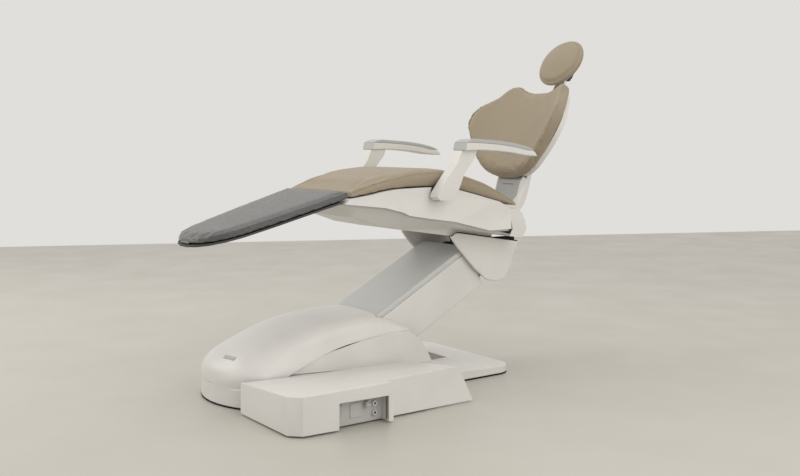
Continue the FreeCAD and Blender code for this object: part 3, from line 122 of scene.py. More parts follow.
class ChairColours(bpy.types.PropertyGroup):
    """Colours of the finishes."""

    shell: paint("Shell", tint(226, 224, 220), "Moulded covers")
    shell_shade: paint("Shell shade", tint(219, 217, 213), "Slight variation in the moulded covers")
    # Arm top: the shell's white plastic made greyer, as painted shade on the lift arm's top.
    arm: paint("Arm top", tint(203, 204, 203), "Top skin of the lift arm")
    trim: paint("Trim", tint(186, 187, 186), "Grey armrest pads and plates")
    hide: paint("Upholstery", tint(166, 153, 132), "Seat, back and headrest covering")
    hide_deep: paint("Upholstery grain", tint(140, 127, 106), "Grain of the covering")
    foot: paint("Foot section", tint(86, 86, 86), "Foot section covering")
    floor: paint("Floor", tint(198, 194, 185), "Studio floor")


def sizes():
    return bpy.context.scene.chair_sizes


def colours():
    return bpy.context.scene.chair_colours


# ------------------------------------------------------------------ finishes
class Finish:
    """A shader being wired up, read from the piece's own coordinates."""

    def __init__(self, name, metallic=0.0, specular=0.5, coat=0.0, sheen=0.0):
        self.material = bpy.data.materials.new(name)
        self.material.use_nodes = True
        self.tree = self.material.node_tree
        self.shader = self.tree.nodes["Principled BSDF"]
        self.set("Metallic", metallic)
        self.set("Specular IOR Level", specular)
        self.set("Coat Weight", coat)
        self.set("Coat Roughness", 0.25)
        self.set("Sheen Weight", sheen)
        self.set("Sheen Roughness", 0.45)
        self.coords = self.tree.nodes.new("ShaderNodeTexCoord").outputs["Object"]

    def set(self, socket, value):
        self.shader.inputs[socket].default_value = value

    def node(self, kind, **settings):
        node = self.tree.nodes.new(kind)
        for key, value in settings.items():
            setattr(node, key, value)
        return node

    def link(self, a, b):
        self.tree.links.new(a, b)

    def stretched(self, scale):
        mapping = self.node("ShaderNodeMapping")
        mapping.inputs["Scale"].default_value = scale
        self.link(self.coords, mapping.inputs["Vector"])
        return mapping.outputs["Vector"]

    def noise(self, scale, detail=3.0, rough=0.5, coords=None):
        noise = self.node("ShaderNodeTexNoise")
        noise.inputs["Scale"].default_value = scale
        noise.inputs["Detail"].default_value = detail
        noise.inputs["Roughness"].default_value = rough
        self.link(coords or self.coords, noise.inputs["Vector"])
        return noise.outputs["Fac"]

    def cells(self, scale, feature="DISTANCE_TO_EDGE", coords=None):
        cells = self.node("ShaderNodeTexVoronoi", feature=feature)
        cells.inputs["Scale"].default_value = scale
        self.link(coords or self.coords, cells.inputs["Vector"])
        return cells.outputs["Distance"]

    def spread(self, value, low, high, to_low, to_high):
        spread = self.node("ShaderNodeMapRange")
        settings = {"From Min": low, "From Max": high, "To Min": to_low, "To Max": to_high}
        for socket, number in settings.items():
            spread.inputs[socket].default_value = number
        self.link(value, spread.inputs["Value"])
        return spread.outputs["Result"]

    def blend(self, factor, first, second):
        """Mixes two colours, each a colour or another output."""
        mix = self.node("ShaderNodeMix", data_type="RGBA")
        self.link(factor, mix.inputs[0])
        for socket, colour in ((mix.inputs[6], first), (mix.inputs[7], second)):
            if isinstance(colour, bpy.types.NodeSocket):
                self.link(colour, socket)
            else:
                socket.default_value = (*colour, 1)
        return mix.outputs[2]

    def worn(self, colour, wear, amount):
        """Lightens or darkens the colour along convex edges."""
        edges = self.spread(self.node("ShaderNodeNewGeometry").outputs["Pointiness"], 0.52, 0.62, 0, amount)
        return self.blend(edges, colour, wear)

    def relief(self, height, depth, strength=1.0, under=None):
        bump = self.node("ShaderNodeBump")
        bump.inputs["Strength"].default_value = strength
        bump.inputs["Distance"].default_value = depth
        self.link(height, bump.inputs["Height"])
        if under is not None:
            self.link(under, bump.inputs["Normal"])
        return bump.outputs["Normal"]

    def done(self, colour, roughness, normal):
        self.link(colour, self.shader.inputs["Base Color"])
        self.link(roughness, self.shader.inputs["Roughness"])
        self.link(normal, self.shader.inputs["Normal"])
        return self.material


def shade(colour, factor):
    return tuple(min(1.0, part * factor) for part in colour[:3])


def moulded_plastic(name, colour, other, rough=(0.30, 0.42), texture=2600, depth=0.00004, coat=0.15):
    """Moulded plastic: a fine spark texture, faint cloudiness and slightly polished edges."""
    finish = Finish(name, specular=0.45, coat=coat)
    cloudy = finish.spread(finish.noise(5.0, 4.0), 0.35, 0.65, 0, 1)
    colour_out = finish.worn(finish.blend(cloudy, colour, other), shade(colour, 1.12), 0.5)
    scuffs = finish.noise(28.0, 6.0, 0.65)
    orange_peel = finish.relief(finish.noise(90.0, 2.0), 0.0003, 0.16)
    return finish.done(colour_out, finish.spread(scuffs, 0.3, 0.7, *rough),
                       finish.relief(finish.noise(texture, 2.0), depth, 0.5, orange_peel))


def grained_covering(name, colour, deep, rough=(0.46, 0.60), grain=620.0, sheen=0.12, coat=0.0):
    """Coated upholstery fabric: pebbled grain, soft creases and a little sheen."""
    finish = Finish(name, specular=0.32, sheen=sheen, coat=coat)
    warp = finish.node("ShaderNodeTexNoise")
    warp.inputs["Scale"].default_value = 240
    finish.link(finish.coords, warp.inputs["Vector"])
    push = finish.node("ShaderNodeVectorMath", operation="MULTIPLY_ADD")
    push.inputs[1].default_value = (0.0014, 0.0014, 0.0014)
    finish.link(warp.outputs["Color"], push.inputs[0])
    finish.link(finish.coords, push.inputs[2])
    pebbles = finish.cells(grain, coords=push.outputs[0])
    valleys = finish.spread(pebbles, 0.0, 0.22, 1, 0)
    patches = finish.spread(finish.noise(7.0, 5.0), 0.3, 0.7, 0, 1)
    hide = finish.blend(patches, colour, shade(colour, 0.93))
    flecks = finish.spread(finish.noise(160.0, 3.0), 0.35, 0.7, 0, 0.35)
    mottled = finish.blend(flecks, hide, shade(colour, 1.08))
    grained = finish.blend(finish.spread(valleys, 0, 1, 0, 0.55), mottled, deep)
    colour_out = finish.worn(grained, shade(colour, 1.15), 0.4)
    creases = finish.relief(finish.noise(34.0, 5.0, 0.6), 0.0009, 0.22)
    roughness = finish.spread(finish.noise(60.0, 4.0), 0.3, 0.7, *rough)
    rounded_pebbles = finish.spread(pebbles, 0.0, 0.25, 0, 1)
    return finish.done(colour_out, roughness, finish.relief(rounded_pebbles, 0.00022, 0.6, creases))


def rubber(name, colour):
    """Matt black seal rubber with a dusty bloom, also used darker as a painted shadow line in gaps and
    openings.
    """
    finish = Finish(name, specular=0.3)
    dust = finish.spread(finish.noise(45.0, 5.0, 0.7), 0.45, 0.75, 0, 0.4)
    dusty = finish.blend(dust, colour, shade(colour, 3.0))
    return finish.done(dusty, finish.spread(finish.noise(70.0), 0.3, 0.7, 0.7, 0.9),
                       finish.relief(finish.noise(900.0, 3.0), 0.00008, 0.5))


def metal(name, colour, rough=(0.25, 0.4), brushed=(1, 1, 1), texture=500.0, depth=0.00006):
    """Bare or plated metal, brushed along the axis with the smallest stretch."""
    finish = Finish(name, metallic=1.0)
    lines = finish.noise(texture, 4.0, 0.6, finish.stretched(brushed))
    tarnish = finish.spread(finish.noise(22.0, 5.0), 0.35, 0.75, 0, 0.5)
    colour_out = finish.worn(finish.blend(tarnish, colour, shade(colour, 0.72)), shade(colour, 1.25), 0.6)
    return finish.done(colour_out, finish.spread(lines, 0.3, 0.7, *rough), finish.relief(lines, depth, 0.5))


def powder_coat(name, colour):
    """Powder-coated steel: orange-peel skin, rubbed lighter along its edges."""
    finish = Finish(name, specular=0.5, coat=0.1)
    patches = finish.spread(finish.noise(14.0, 5.0), 0.35, 0.7, 0, 1)
    colour_out = finish.worn(finish.blend(patches, colour, shade(colour, 0.82)), shade(colour, 1.6), 0.6)
    return finish.done(colour_out, finish.spread(finish.noise(200.0), 0.3, 0.7, 0.35, 0.55),
                       finish.relief(finish.noise(420.0, 2.0), 0.0001, 0.5))


def floor_finish():
    """Poured pale floor, faintly clouded, with a soft shine."""
    finish = Finish("poured_floor", specular=0.4)
    base = colours().floor
    cloud = finish.spread(finish.noise(0.9, 5.0, 0.6), 0.3, 0.7, 0, 1)
    speck = finish.spread(finish.noise(160.0, 2.0), 0.45, 0.7, 0, 0.3)
    colour = finish.blend(speck, finish.blend(cloud, base, shade(base, 0.95)), shade(base, 0.9))
    return finish.done(colour, finish.spread(finish.noise(3.0, 5.0), 0.3, 0.7, 0.30, 0.46),
                       finish.relief(finish.noise(2.2, 3.0), 0.002, 0.08))


FINISHES = {}


def make_finishes():
    c = colours()
    shell, shell_shade, arm, trim, hide, hide_deep, foot = (
        tuple(value) for value in (c.shell, c.shell_shade, c.arm, c.trim, c.hide, c.hide_deep, c.foot))
    FINISHES.update(
        white_shell=moulded_plastic("white_shell_skin", shell, shell_shade),
        # The arm's top skin: white shell plastic painted greyer, as painted shade on its upward-facing top.
        arm_top=moulded_plastic("arm_top_skin", arm, shade(arm, 0.96), rough=(0.3, 0.36), coat=0.2),
        panel_grey=moulded_plastic("panel_skin", tint(196, 196, 193), tint(188, 188, 185), rough=(0.4, 0.5)),
        column_grey=moulded_plastic("column_skin", tint(168, 168, 167), tint(160, 160, 159),
                                    rough=(0.4, 0.5)),
        grey_trim=moulded_plastic("grey_trim_skin", trim, shade(trim, 0.92), rough=(0.42, 0.56),
                                  texture=1500, depth=0.00008, coat=0.0),
        dark_plastic=moulded_plastic("dark_plastic_skin", tint(44, 44, 46), tint(36, 36, 38),
                                     rough=(0.4, 0.55), texture=1800, depth=0.00008, coat=0.05),
        upholstery=grained_covering("tan_covering", hide, hide_deep),
        foot_covering=grained_covering("charcoal_covering", foot, shade(foot, 0.7), rough=(0.26, 0.36),
                                       grain=700.0, sheen=0.05, coat=0.35),
        thread=grained_covering("sewing_thread", shade(hide, 0.8), shade(hide_deep, 0.7), grain=1500.0),
        seal_rubber=rubber("seal_rubber_skin", tint(28, 28, 29)),
        frame_steel=powder_coat("frame_paint", tint(92, 95, 98)),
        pin_steel=metal("pin_steel_skin", tint(190, 190, 192), brushed=(30, 1, 30)),
        cast_aluminium=metal("cast_aluminium_skin", tint(186, 187, 189), rough=(0.42, 0.58),
                             texture=260.0, depth=0.00015),
        plated_fitting=metal("plated_skin", tint(206, 207, 210), rough=(0.12, 0.24), brushed=(1, 1, 14),
                             texture=160.0, depth=0.00002),
        board=moulded_plastic("board_skin", tint(78, 76, 74), tint(66, 64, 62), rough=(0.5, 0.65),
                              texture=700, depth=0.0001, coat=0.0),
        # Near-black, darker than the seal rubber: painted shadow, for dark pieces put in gaps and openings.
        shadow_line=rubber("shadow_line_skin", tint(20, 20, 21)),
    )


# ------------------------------------------------------------------ shared making
def deselect():
    bpy.ops.object.select_all(action="DESELECT")


def pick(piece):
    deselect()
    piece.select_set(True)
    bpy.context.view_layer.objects.active = piece


@contextmanager
def editing(piece, select="SELECT"):
    """Edit mode on one piece, with all of its mesh selected or none of it."""
    pick(piece)
    bpy.ops.object.mode_set(mode="EDIT")
    bpy.ops.mesh.select_all(action=select)
    yield bmesh.from_edit_mesh(piece.data)
    bpy.ops.object.mode_set(mode="OBJECT")


def apply(piece, kind, **settings):
    """Adds a modifier with these settings and applies it."""
    pick(piece)
    modifier = piece.modifiers.new(kind.title(), kind)
    for key, value in settings.items():
        setattr(modifier, key, value)
    bpy.ops.object.modifier_apply(modifier=modifier.name)


def merged_copy(name, node):
    """A copy of a frame node's mesh with its loose triangles joined up."""
    piece = bpy.data.objects.new(name, NODES[node].data.copy())
    bpy.context.collection.objects.link(piece)
    with editing(piece):
        bpy.ops.mesh.remove_doubles(threshold=0.00002)
        bpy.ops.mesh.dissolve_limited(angle_limit=math.radians(0.6))
    return piece


def rounded(piece, radius, segments=3, angle=34):
    """Rounds the sharp edges over and shades the flats flat."""
    apply(piece, "BEVEL", width=radius, segments=segments, limit_method="ANGLE",
          angle_limit=math.radians(angle), use_clamp_overlap=True, harden_normals=False)
    pick(piece)
    bpy.ops.object.shade_smooth_by_angle(angle=math.radians(angle))
    apply(piece, "WEIGHTED_NORMAL", keep_sharp=True, weight=60)


def soften_outline(piece, radius, along=Vector((0, 1, 0))):
    """Rounds the corners of a flat outline, which are the edges that run through its thickness."""
    with editing(piece, "DESELECT") as mesh:
        for edge in mesh.edges:
            run = edge.verts[1].co - edge.verts[0].co
            if len(edge.link_faces) == 2 and run.length > 0.002 and abs(run.normalized().dot(along)) > 0.995:
                edge.select_set(math.radians(3) < edge.calc_face_angle(0) < math.radians(75))
        bmesh.update_edit_mesh(piece.data)
        bpy.ops.mesh.bevel(offset=radius, segments=4, affect="EDGES", clamp_overlap=True)


def settle(piece, body, finish, slot, *nodes):
    """Gives a piece its finish and its body, and hides the nodes that it stands for."""
    if finish:
        piece.data.materials.clear()
        piece.data.materials.append(FINISHES[finish])
    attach(piece, body)
    if nodes:
        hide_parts(*nodes)
    return piece


def node_body(node):
    return NODES[node]["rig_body"]


def cover(node, radius, finish="white_shell", slot="white_shell", segments=3, angle=34, outline=0.0):
    """One moulded cover: the node's form with rounded edges, and its outline's corners eased first."""
    piece = merged_copy(node + "_skin", node)
    if outline:
        soften_outline(piece, outline)
    rounded(piece, radius, segments, angle)
    return settle(piece, node_body(node), finish, slot, node)


def mesh_piece(name, vertices, faces):
    mesh = bpy.data.meshes.new(name)
    mesh.from_pydata([tuple(v) for v in vertices], [], faces)
    mesh.update()
    piece = bpy.data.objects.new(name, mesh)
    bpy.context.collection.objects.link(piece)
    return piece


def sleeve(rings, sides, first=0):
    """Faces that join rings of vertices into a sleeve, with a cap at each end."""
    faces = [(a + corner, a + (corner + 1) % sides, a + sides + (corner + 1) % sides, a + sides + corner)
             for a in range(first, first + (rings - 1) * sides, sides) for corner in range(sides)]
    last = first + (rings - 1) * sides
    return faces + [tuple(range(first, first + sides))[::-1], tuple(range(last, last + sides))]


def block(name, size, place=(0, 0, 0)):
    """A plain block, with its size and place in its mesh."""
    deselect()
    bpy.ops.mesh.primitive_cube_add(size=1, location=place, scale=size)
    piece = bpy.context.object
    piece.name = name
    bpy.ops.object.transform_apply(location=True, rotation=True, scale=True)
    return piece


def set_down(piece, place, normal, face, smooth):
    """Lays a small plate made at the origin on a surface, with one of its faces along the normal."""
    piece.data.transform(normal.to_track_quat(face, "Z").to_matrix().to_4x4())
    piece.data.transform(Matrix.Translation(place))
    pick(piece)
    bpy.ops.object.shade_smooth_by_angle(angle=math.radians(smooth))


def resample(points, step):
    """Points at an even spacing along a line."""
    spaced, left = [points[0]], step
    for a, b in zip(points, points[1:]):
        span = (b - a).length
        while left <= span:
            spaced.append(a.lerp(b, left / span))
            left += step
        left -= span
    return spaced


def surface_of(piece):
    bpy.context.view_layer.update()
    return BVHTree.FromObject(piece, bpy.context.evaluated_depsgraph_get())


def eased(values, place):
    """A smooth line through evenly numbered values, read at any place along it."""
    last = len(values) - 1
    index = min(int(place), last - 1)
    share = place - index
    before, a, b, after = (values[min(max(index + step, 0), last)] for step in (-1, 0, 1, 2))
    slope_a, slope_b = (b - before) / 2, (after - a) / 2
    return (a * (2 * share ** 3 - 3 * share ** 2 + 1) + slope_a * (share ** 3 - 2 * share ** 2 + share)
            + b * (3 * share ** 2 - 2 * share ** 3) + slope_b * (share ** 3 - share ** 2))


def eased_line(points, steps):
    """Points along a smooth line through the given ones, with this many steps between each two."""
    return [eased(points, index / steps) for index in range((len(points) - 1) * steps + 1)]


def stations(node, steps, front, rear):
    """Evenly spaced places along a node, from this far behind its front to this far before its rear."""
    low, high = (corner.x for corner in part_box(node))
    return [low + front + (high - low - front - rear) * step / steps for step in range(steps + 1)]


def crossings(piece, at, most=30000):
    """Where the edges of a coarse piece pass a place along the chair; a fine piece has points enough."""
    points = []
    if len(piece.data.edges) > most:
        return points
    for edge in piece.data.edges:
        a, b = (piece.data.vertices[index].co for index in edge.vertices)
        if (a.x - at) * (b.x - at) < 0:
            points.append(a.lerp(b, (at - a.x) / (b.x - a.x)))
    return points


def ridge(piece, places, reach, way, passes=6):
    """The outermost point of a piece in one direction, in each slice along the chair, smoothed."""
    line = []
    for at in places:
        near = [v.co for v in piece.data.vertices if abs(v.co.x - at) < reach and v.co.y * way.y > 0]
        near += crossings(piece, at)
        line.append(max(near, key=way.dot).copy())
    for _ in range(passes):
        line = [line[0]] + [(a + b * 2 + c) / 4 for a, b, c in zip(line, line[1:], line[2:])] + [line[-1]]
    return line


def laid_on(piece, points, lift=0.0):
    """The line moved onto the nearest skin of a piece, with the skin's normals."""
    tree = surface_of(piece)
    laid = []
    for point in points:
        place, normal, _, _ = tree.find_nearest(point)
        laid.append((place + normal * lift, normal))
    return laid


def tube(name, path, radius, sides=8, flattened=0.8):
    """A round cord along a line of (point, normal) pairs, a little flattened onto the skin."""
    last, vertices = len(path) - 1, []
    for index, (point, normal) in enumerate(path):
        along = (path[min(index + 1, last)][0] - path[max(index - 1, 0)][0]).normalized()
        side = along.cross(normal).normalized()
        up = side.cross(along)
        for corner in range(sides):
            turn = 2 * math.pi * corner / sides
            vertices.append(point + side * (math.cos(turn) * radius)
                            + up * (math.sin(turn) * radius * flattened))
    piece = mesh_piece(name, vertices, sleeve(len(path), sides))
    outward(piece)
    pick(piece)
    bpy.ops.object.shade_smooth_by_angle(angle=math.radians(60))
    return piece


def outward(piece):
    """Turns every face of a closed piece outwards."""
    with editing(piece):
        bpy.ops.mesh.normals_make_consistent(inside=False)


def nearest_on(points):
    """A lookup of the nearest of these points."""
    lookup = KDTree(len(points))
    for index, point in enumerate(points):
        lookup.insert(point, index)
    lookup.balance()
    return lookup


def stitches(name, path, radius=0.00045, sides=6):
    """A row of separate stitches along a line of (point, normal) pairs, each pinched at its ends."""
    size = sizes()
    points = [point for point, _ in path]
    lookup = nearest_on(points)
    rings = ((0, 0.3), (0.2, 1), (0.8, 1), (1, 0.3))
    vertices, faces = [], []
    spaced = resample(points, size.stitch_pitch)
    for point, after in zip(spaced, spaced[1:]):
        normal = path[lookup.find(point)[1]][1]
        along = (after - point).normalized() * size.stitch
        side = along.cross(normal).normalized() * radius
        faces += sleeve(len(rings), sides, len(vertices))
        for share, swell in rings:
            for corner in range(sides):
                turn = 2 * math.pi * corner / sides
                vertices.append(point + along * share + side * (math.cos(turn) * swell)
                                + normal * (radius * math.sin(turn) * swell))
    piece = mesh_piece(name, vertices, faces)
    outward(piece)
    return piece


# ------------------------------------------------------------------ cushions
CLOTH = {"quality": 4, "mass": 0.4, "tension_stiffness": 12, "compression_stiffness": 12,
         "shear_stiffness": 6, "bending_stiffness": 0.6, "use_pressure": True, "vertex_group_mass": "held"}


def simulated(piece):
    """Where the points of a piece lie after its cloth has filled with air."""
    size, scene = sizes(), bpy.context.scene
    pick(piece)
    cloth = piece.modifiers.new("Filling", "CLOTH")
    for key, value in CLOTH.items():
        setattr(cloth.settings, key, value)
    cloth.settings.uniform_pressure_force = size.pressure
    cloth.settings.effector_weights.gravity = 0
    cloth.collision_settings.use_collision = False
    cloth.point_cache.frame_start, cloth.point_cache.frame_end = 1, size.cloth_steps
    for step in range(1, size.cloth_steps + 1):
        scene.frame_set(step)
    filled = piece.evaluated_get(bpy.context.evaluated_depsgraph_get())
    moved = [v.co.copy() for v in filled.to_mesh().vertices]
    filled.to_mesh_clear()
    piece.modifiers.remove(cloth)
    scene.frame_set(1)
    return moved


def blown_up(piece, cap, shrink, smooth=6, held=None, cell=None):
    """A stuffed cushion: a plain form remeshed, blown up as cloth and kept near its own size."""
    apply(piece, "REMESH", mode="VOXEL", voxel_size=cell or sizes().cloth_cell)
    apply(piece, "SMOOTH", factor=0.5, iterations=smooth)
    mesh = piece.data
    mesh.update()
    for vertex, normal in [(v, v.normal.copy()) for v in mesh.vertices]:
        vertex.co -= normal * shrink
    mesh.update()
    fixed = piece.vertex_groups.new(name="held")
    fixed.add([v.index for v in mesh.vertices if held and held(v.co, v.normal)], 1, "REPLACE")
    start = [v.co.copy() for v in mesh.vertices]
    for vertex, old, new in zip(mesh.vertices, start, simulated(piece)):
        push = new - old
        vertex.co = old + push * (min(1.0, cap / push.length) if push.length > 0 else 1)
    mesh.update()
    apply(piece, "SMOOTH", factor=0.5, iterations=3)
    piece.vertex_groups.clear()
    return piece


def finer(piece):
    """One more level of mesh, and smooth shading."""
    apply(piece, "SUBSURF", levels=1, render_levels=1)
    pick(piece)
    bpy.ops.object.shade_smooth()


def sew(piece, path, width=0.006):
    """Pulls the cover in along a sewn line."""
    lookup, depth = nearest_on([point for point, _ in path]), sizes().seam_sink
    mesh = piece.data
    for vertex, normal in [(v, v.normal.copy()) for v in mesh.vertices]:
        distance = lookup.find(vertex.co)[2]
        if distance < width * 3:
            vertex.co -= normal * (depth * math.exp(-((distance / width) ** 2)))
    mesh.update()


def seamed(cushion, name, points, body, beside=None, step=0.004):
    """A sewn seam: a groove, the welt in it and, where beside is given, a row of stitches next to it."""
    line = laid_on(cushion, resample(points, step))
    sew(cushion, line)
    line = laid_on(cushion, [point for point, _ in line], sizes().seam * 0.1)
    settle(tube(name + "_welt", line, sizes().seam), body, "upholstery", "upholstery")
    if beside is not None:
        row = laid_on(cushion, [point + beside for point, _ in line], 0.0001)
        settle(stitches(name + "_stitches", row), body, "thread", "upholstery")


def on_back(rear, across, up):
    """A place given in the back's own leaning frame, from its hinge."""
    return BACK_HINGE + BACK_REAR * rear + Vector((0, across, 0)) + BACK_UP * up


# ------------------------------------------------------------------ operators
class Making(bpy.types.Operator):
    """Base of the making steps."""

    bl_idname = "chair.making"
    bl_label = "Making"
    bl_options = {"REGISTER"}

    def execute(self, context):
        self.make()
        return {"FINISHED"}

    def make(self):
        raise NotImplementedError


class CHAIR_OT_finishes(Making):
    """Make the finishes and give them to the bare frame parts"""

    bl_idname = "chair.finishes"
    bl_label = "Finishes"

    def make(self):
        make_finishes()
        for node in NODES.values():
            for place in node.material_slots:
                slot = place.material.name.split(".")[0]
                place.material = FINISHES.get(slot, FINISHES["frame_steel"])


class CHAIR_OT_base(Making):
    """Shape the base cover, the hood and its side panels"""

    bl_idname = "chair.base"
    bl_label = "Base covers"

    PANEL_EDGE, HOOD_WALL, TRAY_WALL, TRAY_EDGE = 0.0015, 0.003, 0.002, 0.0006
    MOUTH_PLACE, MOUTH_SIZE = (0.212, 0, 0.2), (0.4, 0.282, 0.4)
    TRAY_PLACE, TRAY_SIZE = (0.185, 0, 0.047), (0.282, 0.298, 0.026)
    BADGE_SIZE, BADGE_EDGE, BADGE_RIM, BADGE_SINK = (0.002, 0.056, 0.014), 0.0009, 0.0016, 0.0005
    BADGE_NEAR, BADGE_PROUD = Vector((-0.512, -0.052, 0.150)), 0.0004

    # Where each section stands along the chair, then the half widths and the heights of five points
    # from the hood's foot to its crown.
    HOOD = (
        (-0.5575, (0.012, 0.013, 0.010, 0.006, 0.0), (0.066, 0.072, 0.077, 0.080, 0.081)),
        (-0.553, (0.056, 0.060, 0.046, 0.026, 0.0), (0.060, 0.080, 0.097, 0.106, 0.108)),
        (-0.536, (0.110, 0.113, 0.088, 0.048, 0.0), (0.059, 0.092, 0.115, 0.128, 0.132)),
        (-0.505, (0.156, 0.157, 0.122, 0.066, 0.0), (0.061, 0.102, 0.134, 0.152, 0.157)),
        (-0.460, (0.187, 0.184, 0.143, 0.080, 0.0), (0.068, 0.106, 0.150, 0.174, 0.182)),
        (-0.400, (0.190, 0.184, 0.150, 0.088, 0.0), (0.082, 0.116, 0.166, 0.199, 0.208)),
        (-0.320, (0.184, 0.176, 0.152, 0.096, 0.0), (0.112, 0.138, 0.190, 0.224, 0.233)),
        (-0.235, (0.175, 0.169, 0.153, 0.102, 0.0), (0.139, 0.162, 0.208, 0.240, 0.250)),
        (-0.150, (0.172, 0.168, 0.153, 0.106, 0.0), (0.161, 0.180, 0.222, 0.248, 0.257)),
        (-0.060, (0.170, 0.167, 0.153, 0.110, 0.0), (0.173, 0.191, 0.229, 0.253, 0.262)),
        (0.030, (0.170, 0.167, 0.153, 0.114, 0.0), (0.182, 0.196, 0.226, 0.246, 0.250)),
        (0.132, (0.170, 0.167, 0.154, 0.120, 0.0), (0.186, 0.190, 0.194, 0.198, 0.199)),
    )

    def make(self):
        cover("base_cover", sizes().cover_edge)
        self.hood()
        cover("cowl_side_panel_left", self.PANEL_EDGE)
        cover("cowl_side_panel_right", self.PANEL_EDGE)
        self.well()
        self.badge()

    def well(self):
        """The pale tray that lines the well behind the hood, open at the top."""
        tray = block("well_tray", self.TRAY_SIZE, self.TRAY_PLACE)
        with editing(tray) as mesh:
            top = [face for face in mesh.faces if face.normal.z > 0.5]
            bmesh.ops.delete(mesh, geom=top, context="FACES_ONLY")
            bmesh.update_edit_mesh(tray.data)
        apply(tray, "SOLIDIFY", thickness=self.TRAY_WALL, offset=1)
        rounded(tray, self.TRAY_EDGE, 2)
        settle(tray, "base", "white_shell", "white_shell")

    def badge(self):
        """A small blank plate let into the nose."""
        plate = block("nose_badge", self.BADGE_SIZE)
        apply(plate, "BEVEL", width=self.BADGE_EDGE, segments=3)
        with editing(plate) as mesh:
            front = max(mesh.faces, key=lambda face: -face.calc_center_median().x + face.calc_area() * 100)
            bmesh.ops.inset_individual(mesh, faces=[front], thickness=self.BADGE_RIM, depth=-self.BADGE_SINK)
            bmesh.update_edit_mesh(plate.data)
        skin = surface_of(bpy.data.objects["cowl_hood_skin"])
        place, normal, _, _ = skin.find_nearest(self.BADGE_NEAR)
        set_down(plate, place + normal * self.BADGE_PROUD, normal, "-X", 30)
        settle(plate, "base", "grey_trim", "grey_trim")

    def section(self, place, steps=9):
        """One section across the hood, from its left foot over the crown to its right foot."""
        points = []
        for corner in range(5):
            line = [Vector((0, widths[corner], heights[corner])) for _, widths, heights in self.HOOD]
            points.append(eased(line, place))
        points.append(Vector((0, -points[-2].y, points[-2].z)))
        half = [eased(points, step / steps) for step in range(4 * steps + 1)]
        x = eased([station for station, _, _ in self.HOOD], place)
        return ([Vector((x, point.y, point.z)) for point in half]
                + [Vector((x, -point.y, point.z)) for point in reversed(half[:-1])])

    def hood(self, steps=8):
        """The bull-nosed hood: one smooth skin, given its wall and cut open for the arm."""
        rows = [self.section(index / steps) for index in range((len(self.HOOD) - 1) * steps + 1)]
        width = len(rows[0])
        faces = [(a, a + 1, a + 1 + width, a + width) for row in range(len(rows) - 1)
                 for a in range(row * width, (row + 1) * width - 1)]
        faces.append(tuple(range(width))[::-1])
        piece = mesh_piece("cowl_hood_skin", [point for row in rows for point in row], faces)
        outward(piece)
        apply(piece, "SOLIDIFY", thickness=self.HOOD_WALL, offset=-1)
        mouth = block("hood_mouth", self.MOUTH_SIZE, self.MOUTH_PLACE)
        apply(piece, "BOOLEAN", object=mouth, operation="DIFFERENCE", solver="EXACT")
        bpy.data.objects.remove(mouth)
        pick(piece)
        bpy.ops.object.shade_smooth_by_angle(angle=math.radians(40))
        settle(piece, "base", "white_shell", "white_shell", "cowl_hood")


class CHAIR_OT_utility_box(Making):
    """Shape the utility box and the service panel in its recess"""

    bl_idname = "chair.utility_box"
    bl_label = "Utility box"

    BOX_EDGE, PANEL_EDGE = 0.016, 0.0012

    def make(self):
        cover("utility_box", self.BOX_EDGE, segments=6, angle=28)
        cover("utility_panel", self.PANEL_EDGE, "panel_grey", "grey_trim")
        cover("mains_switch", sizes().small_edge, "grey_trim", "dark_plastic")
        cover("socket_cover", sizes().small_edge * 1.5, "panel_grey", "grey_trim")
        cover("shutoff_valve", sizes().small_edge, "grey_trim", "dark_plastic")


class CHAIR_OT_lift_arm(Making):
    """Shape the covers of the lift arm and of the carriage at its head"""

    bl_idname = "chair.lift_arm"
    bl_label = "Lift arm and carriage"

    CARRIAGE_EDGE, CARRIAGE_CORNER, LIP_EDGE = 0.005, 0.012, 0.0005
    SEAL_RADIUS, SEAL_SHORT, SEAL_RAISED = 0.0024, 0.004, 0.0012
    LIP_OUT, LIP_IN, LIP_SHORT, LIP_CLEAR, LIP_FOOT, LIP_FALL = 0.1468, 0.1445, 0.012, 0.0006, 0.478, 0.16

    def make(self):
        edge = sizes().arm_edge
        # The top cover gets the greyer arm finish: painted shade over white shell plastic.
        cover("lift_arm_cover_top", edge, "arm_top", segments=4)
        cover("lift_arm_cover_bottom", edge, segments=4)
        for side, turn in (("left", -1), ("right", 1)):
            piece = cover("carriage_cover_" + side, self.CARRIAGE_EDGE, segments=4,
                          outline=self.CARRIAGE_CORNER)
            self.edge_seal(piece, side, turn)
            self.lip(side, turn)

    def lip(self, side, turn, steps=12):
        """The rubber lip that closes the gap between a carriage cover and the housing above it, coloured
        near-black as the painted shadow in that gap.
        """
        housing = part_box("rear_housing")[0]
        start, stop = housing.x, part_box("carriage_cover_" + side)[1].x - self.LIP_SHORT
        under = housing.z - self.LIP_CLEAR
        vertices = []
        for step in range(steps + 1):
            x = start + (stop - start) * step / steps
            foot = self.LIP_FOOT - (x - start) * self.LIP_FALL
            vertices += [(x, turn * y, z) for y, z in ((self.LIP_OUT, foot), (self.LIP_OUT, under),
                                                       (self.LIP_IN, under), (self.LIP_IN, foot))]
        lip = mesh_piece("carriage_lip_" + side, vertices, sleeve(steps + 1, 4))
        outward(lip)
        rounded(lip, self.LIP_EDGE, 2, 50)
        settle(lip, "carriage", "shadow_line", "seal_rubber")
        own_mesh(lip)

    def edge_seal(self, piece, side, turn, steps=40):
        """A black bead along the top edge of a carriage cover, coloured near-black as a painted shadow line at
        that edge.
        """
        places = stations("carriage_cover_" + side, steps, self.SEAL_SHORT, self.SEAL_SHORT)
        line = [point + Vector((0, 0, self.SEAL_RAISED))
                for point in ridge(piece, places, 0.006, Vector((0, turn * 0.35, 1)))]
        path = [(point, Vector((0, turn, 0))) for point in resample(line, 0.006)]
        bead = tube("carriage_seal_" + side, path, self.SEAL_RADIUS)
        settle(bead, "carriage", "shadow_line", "seal_rubber")


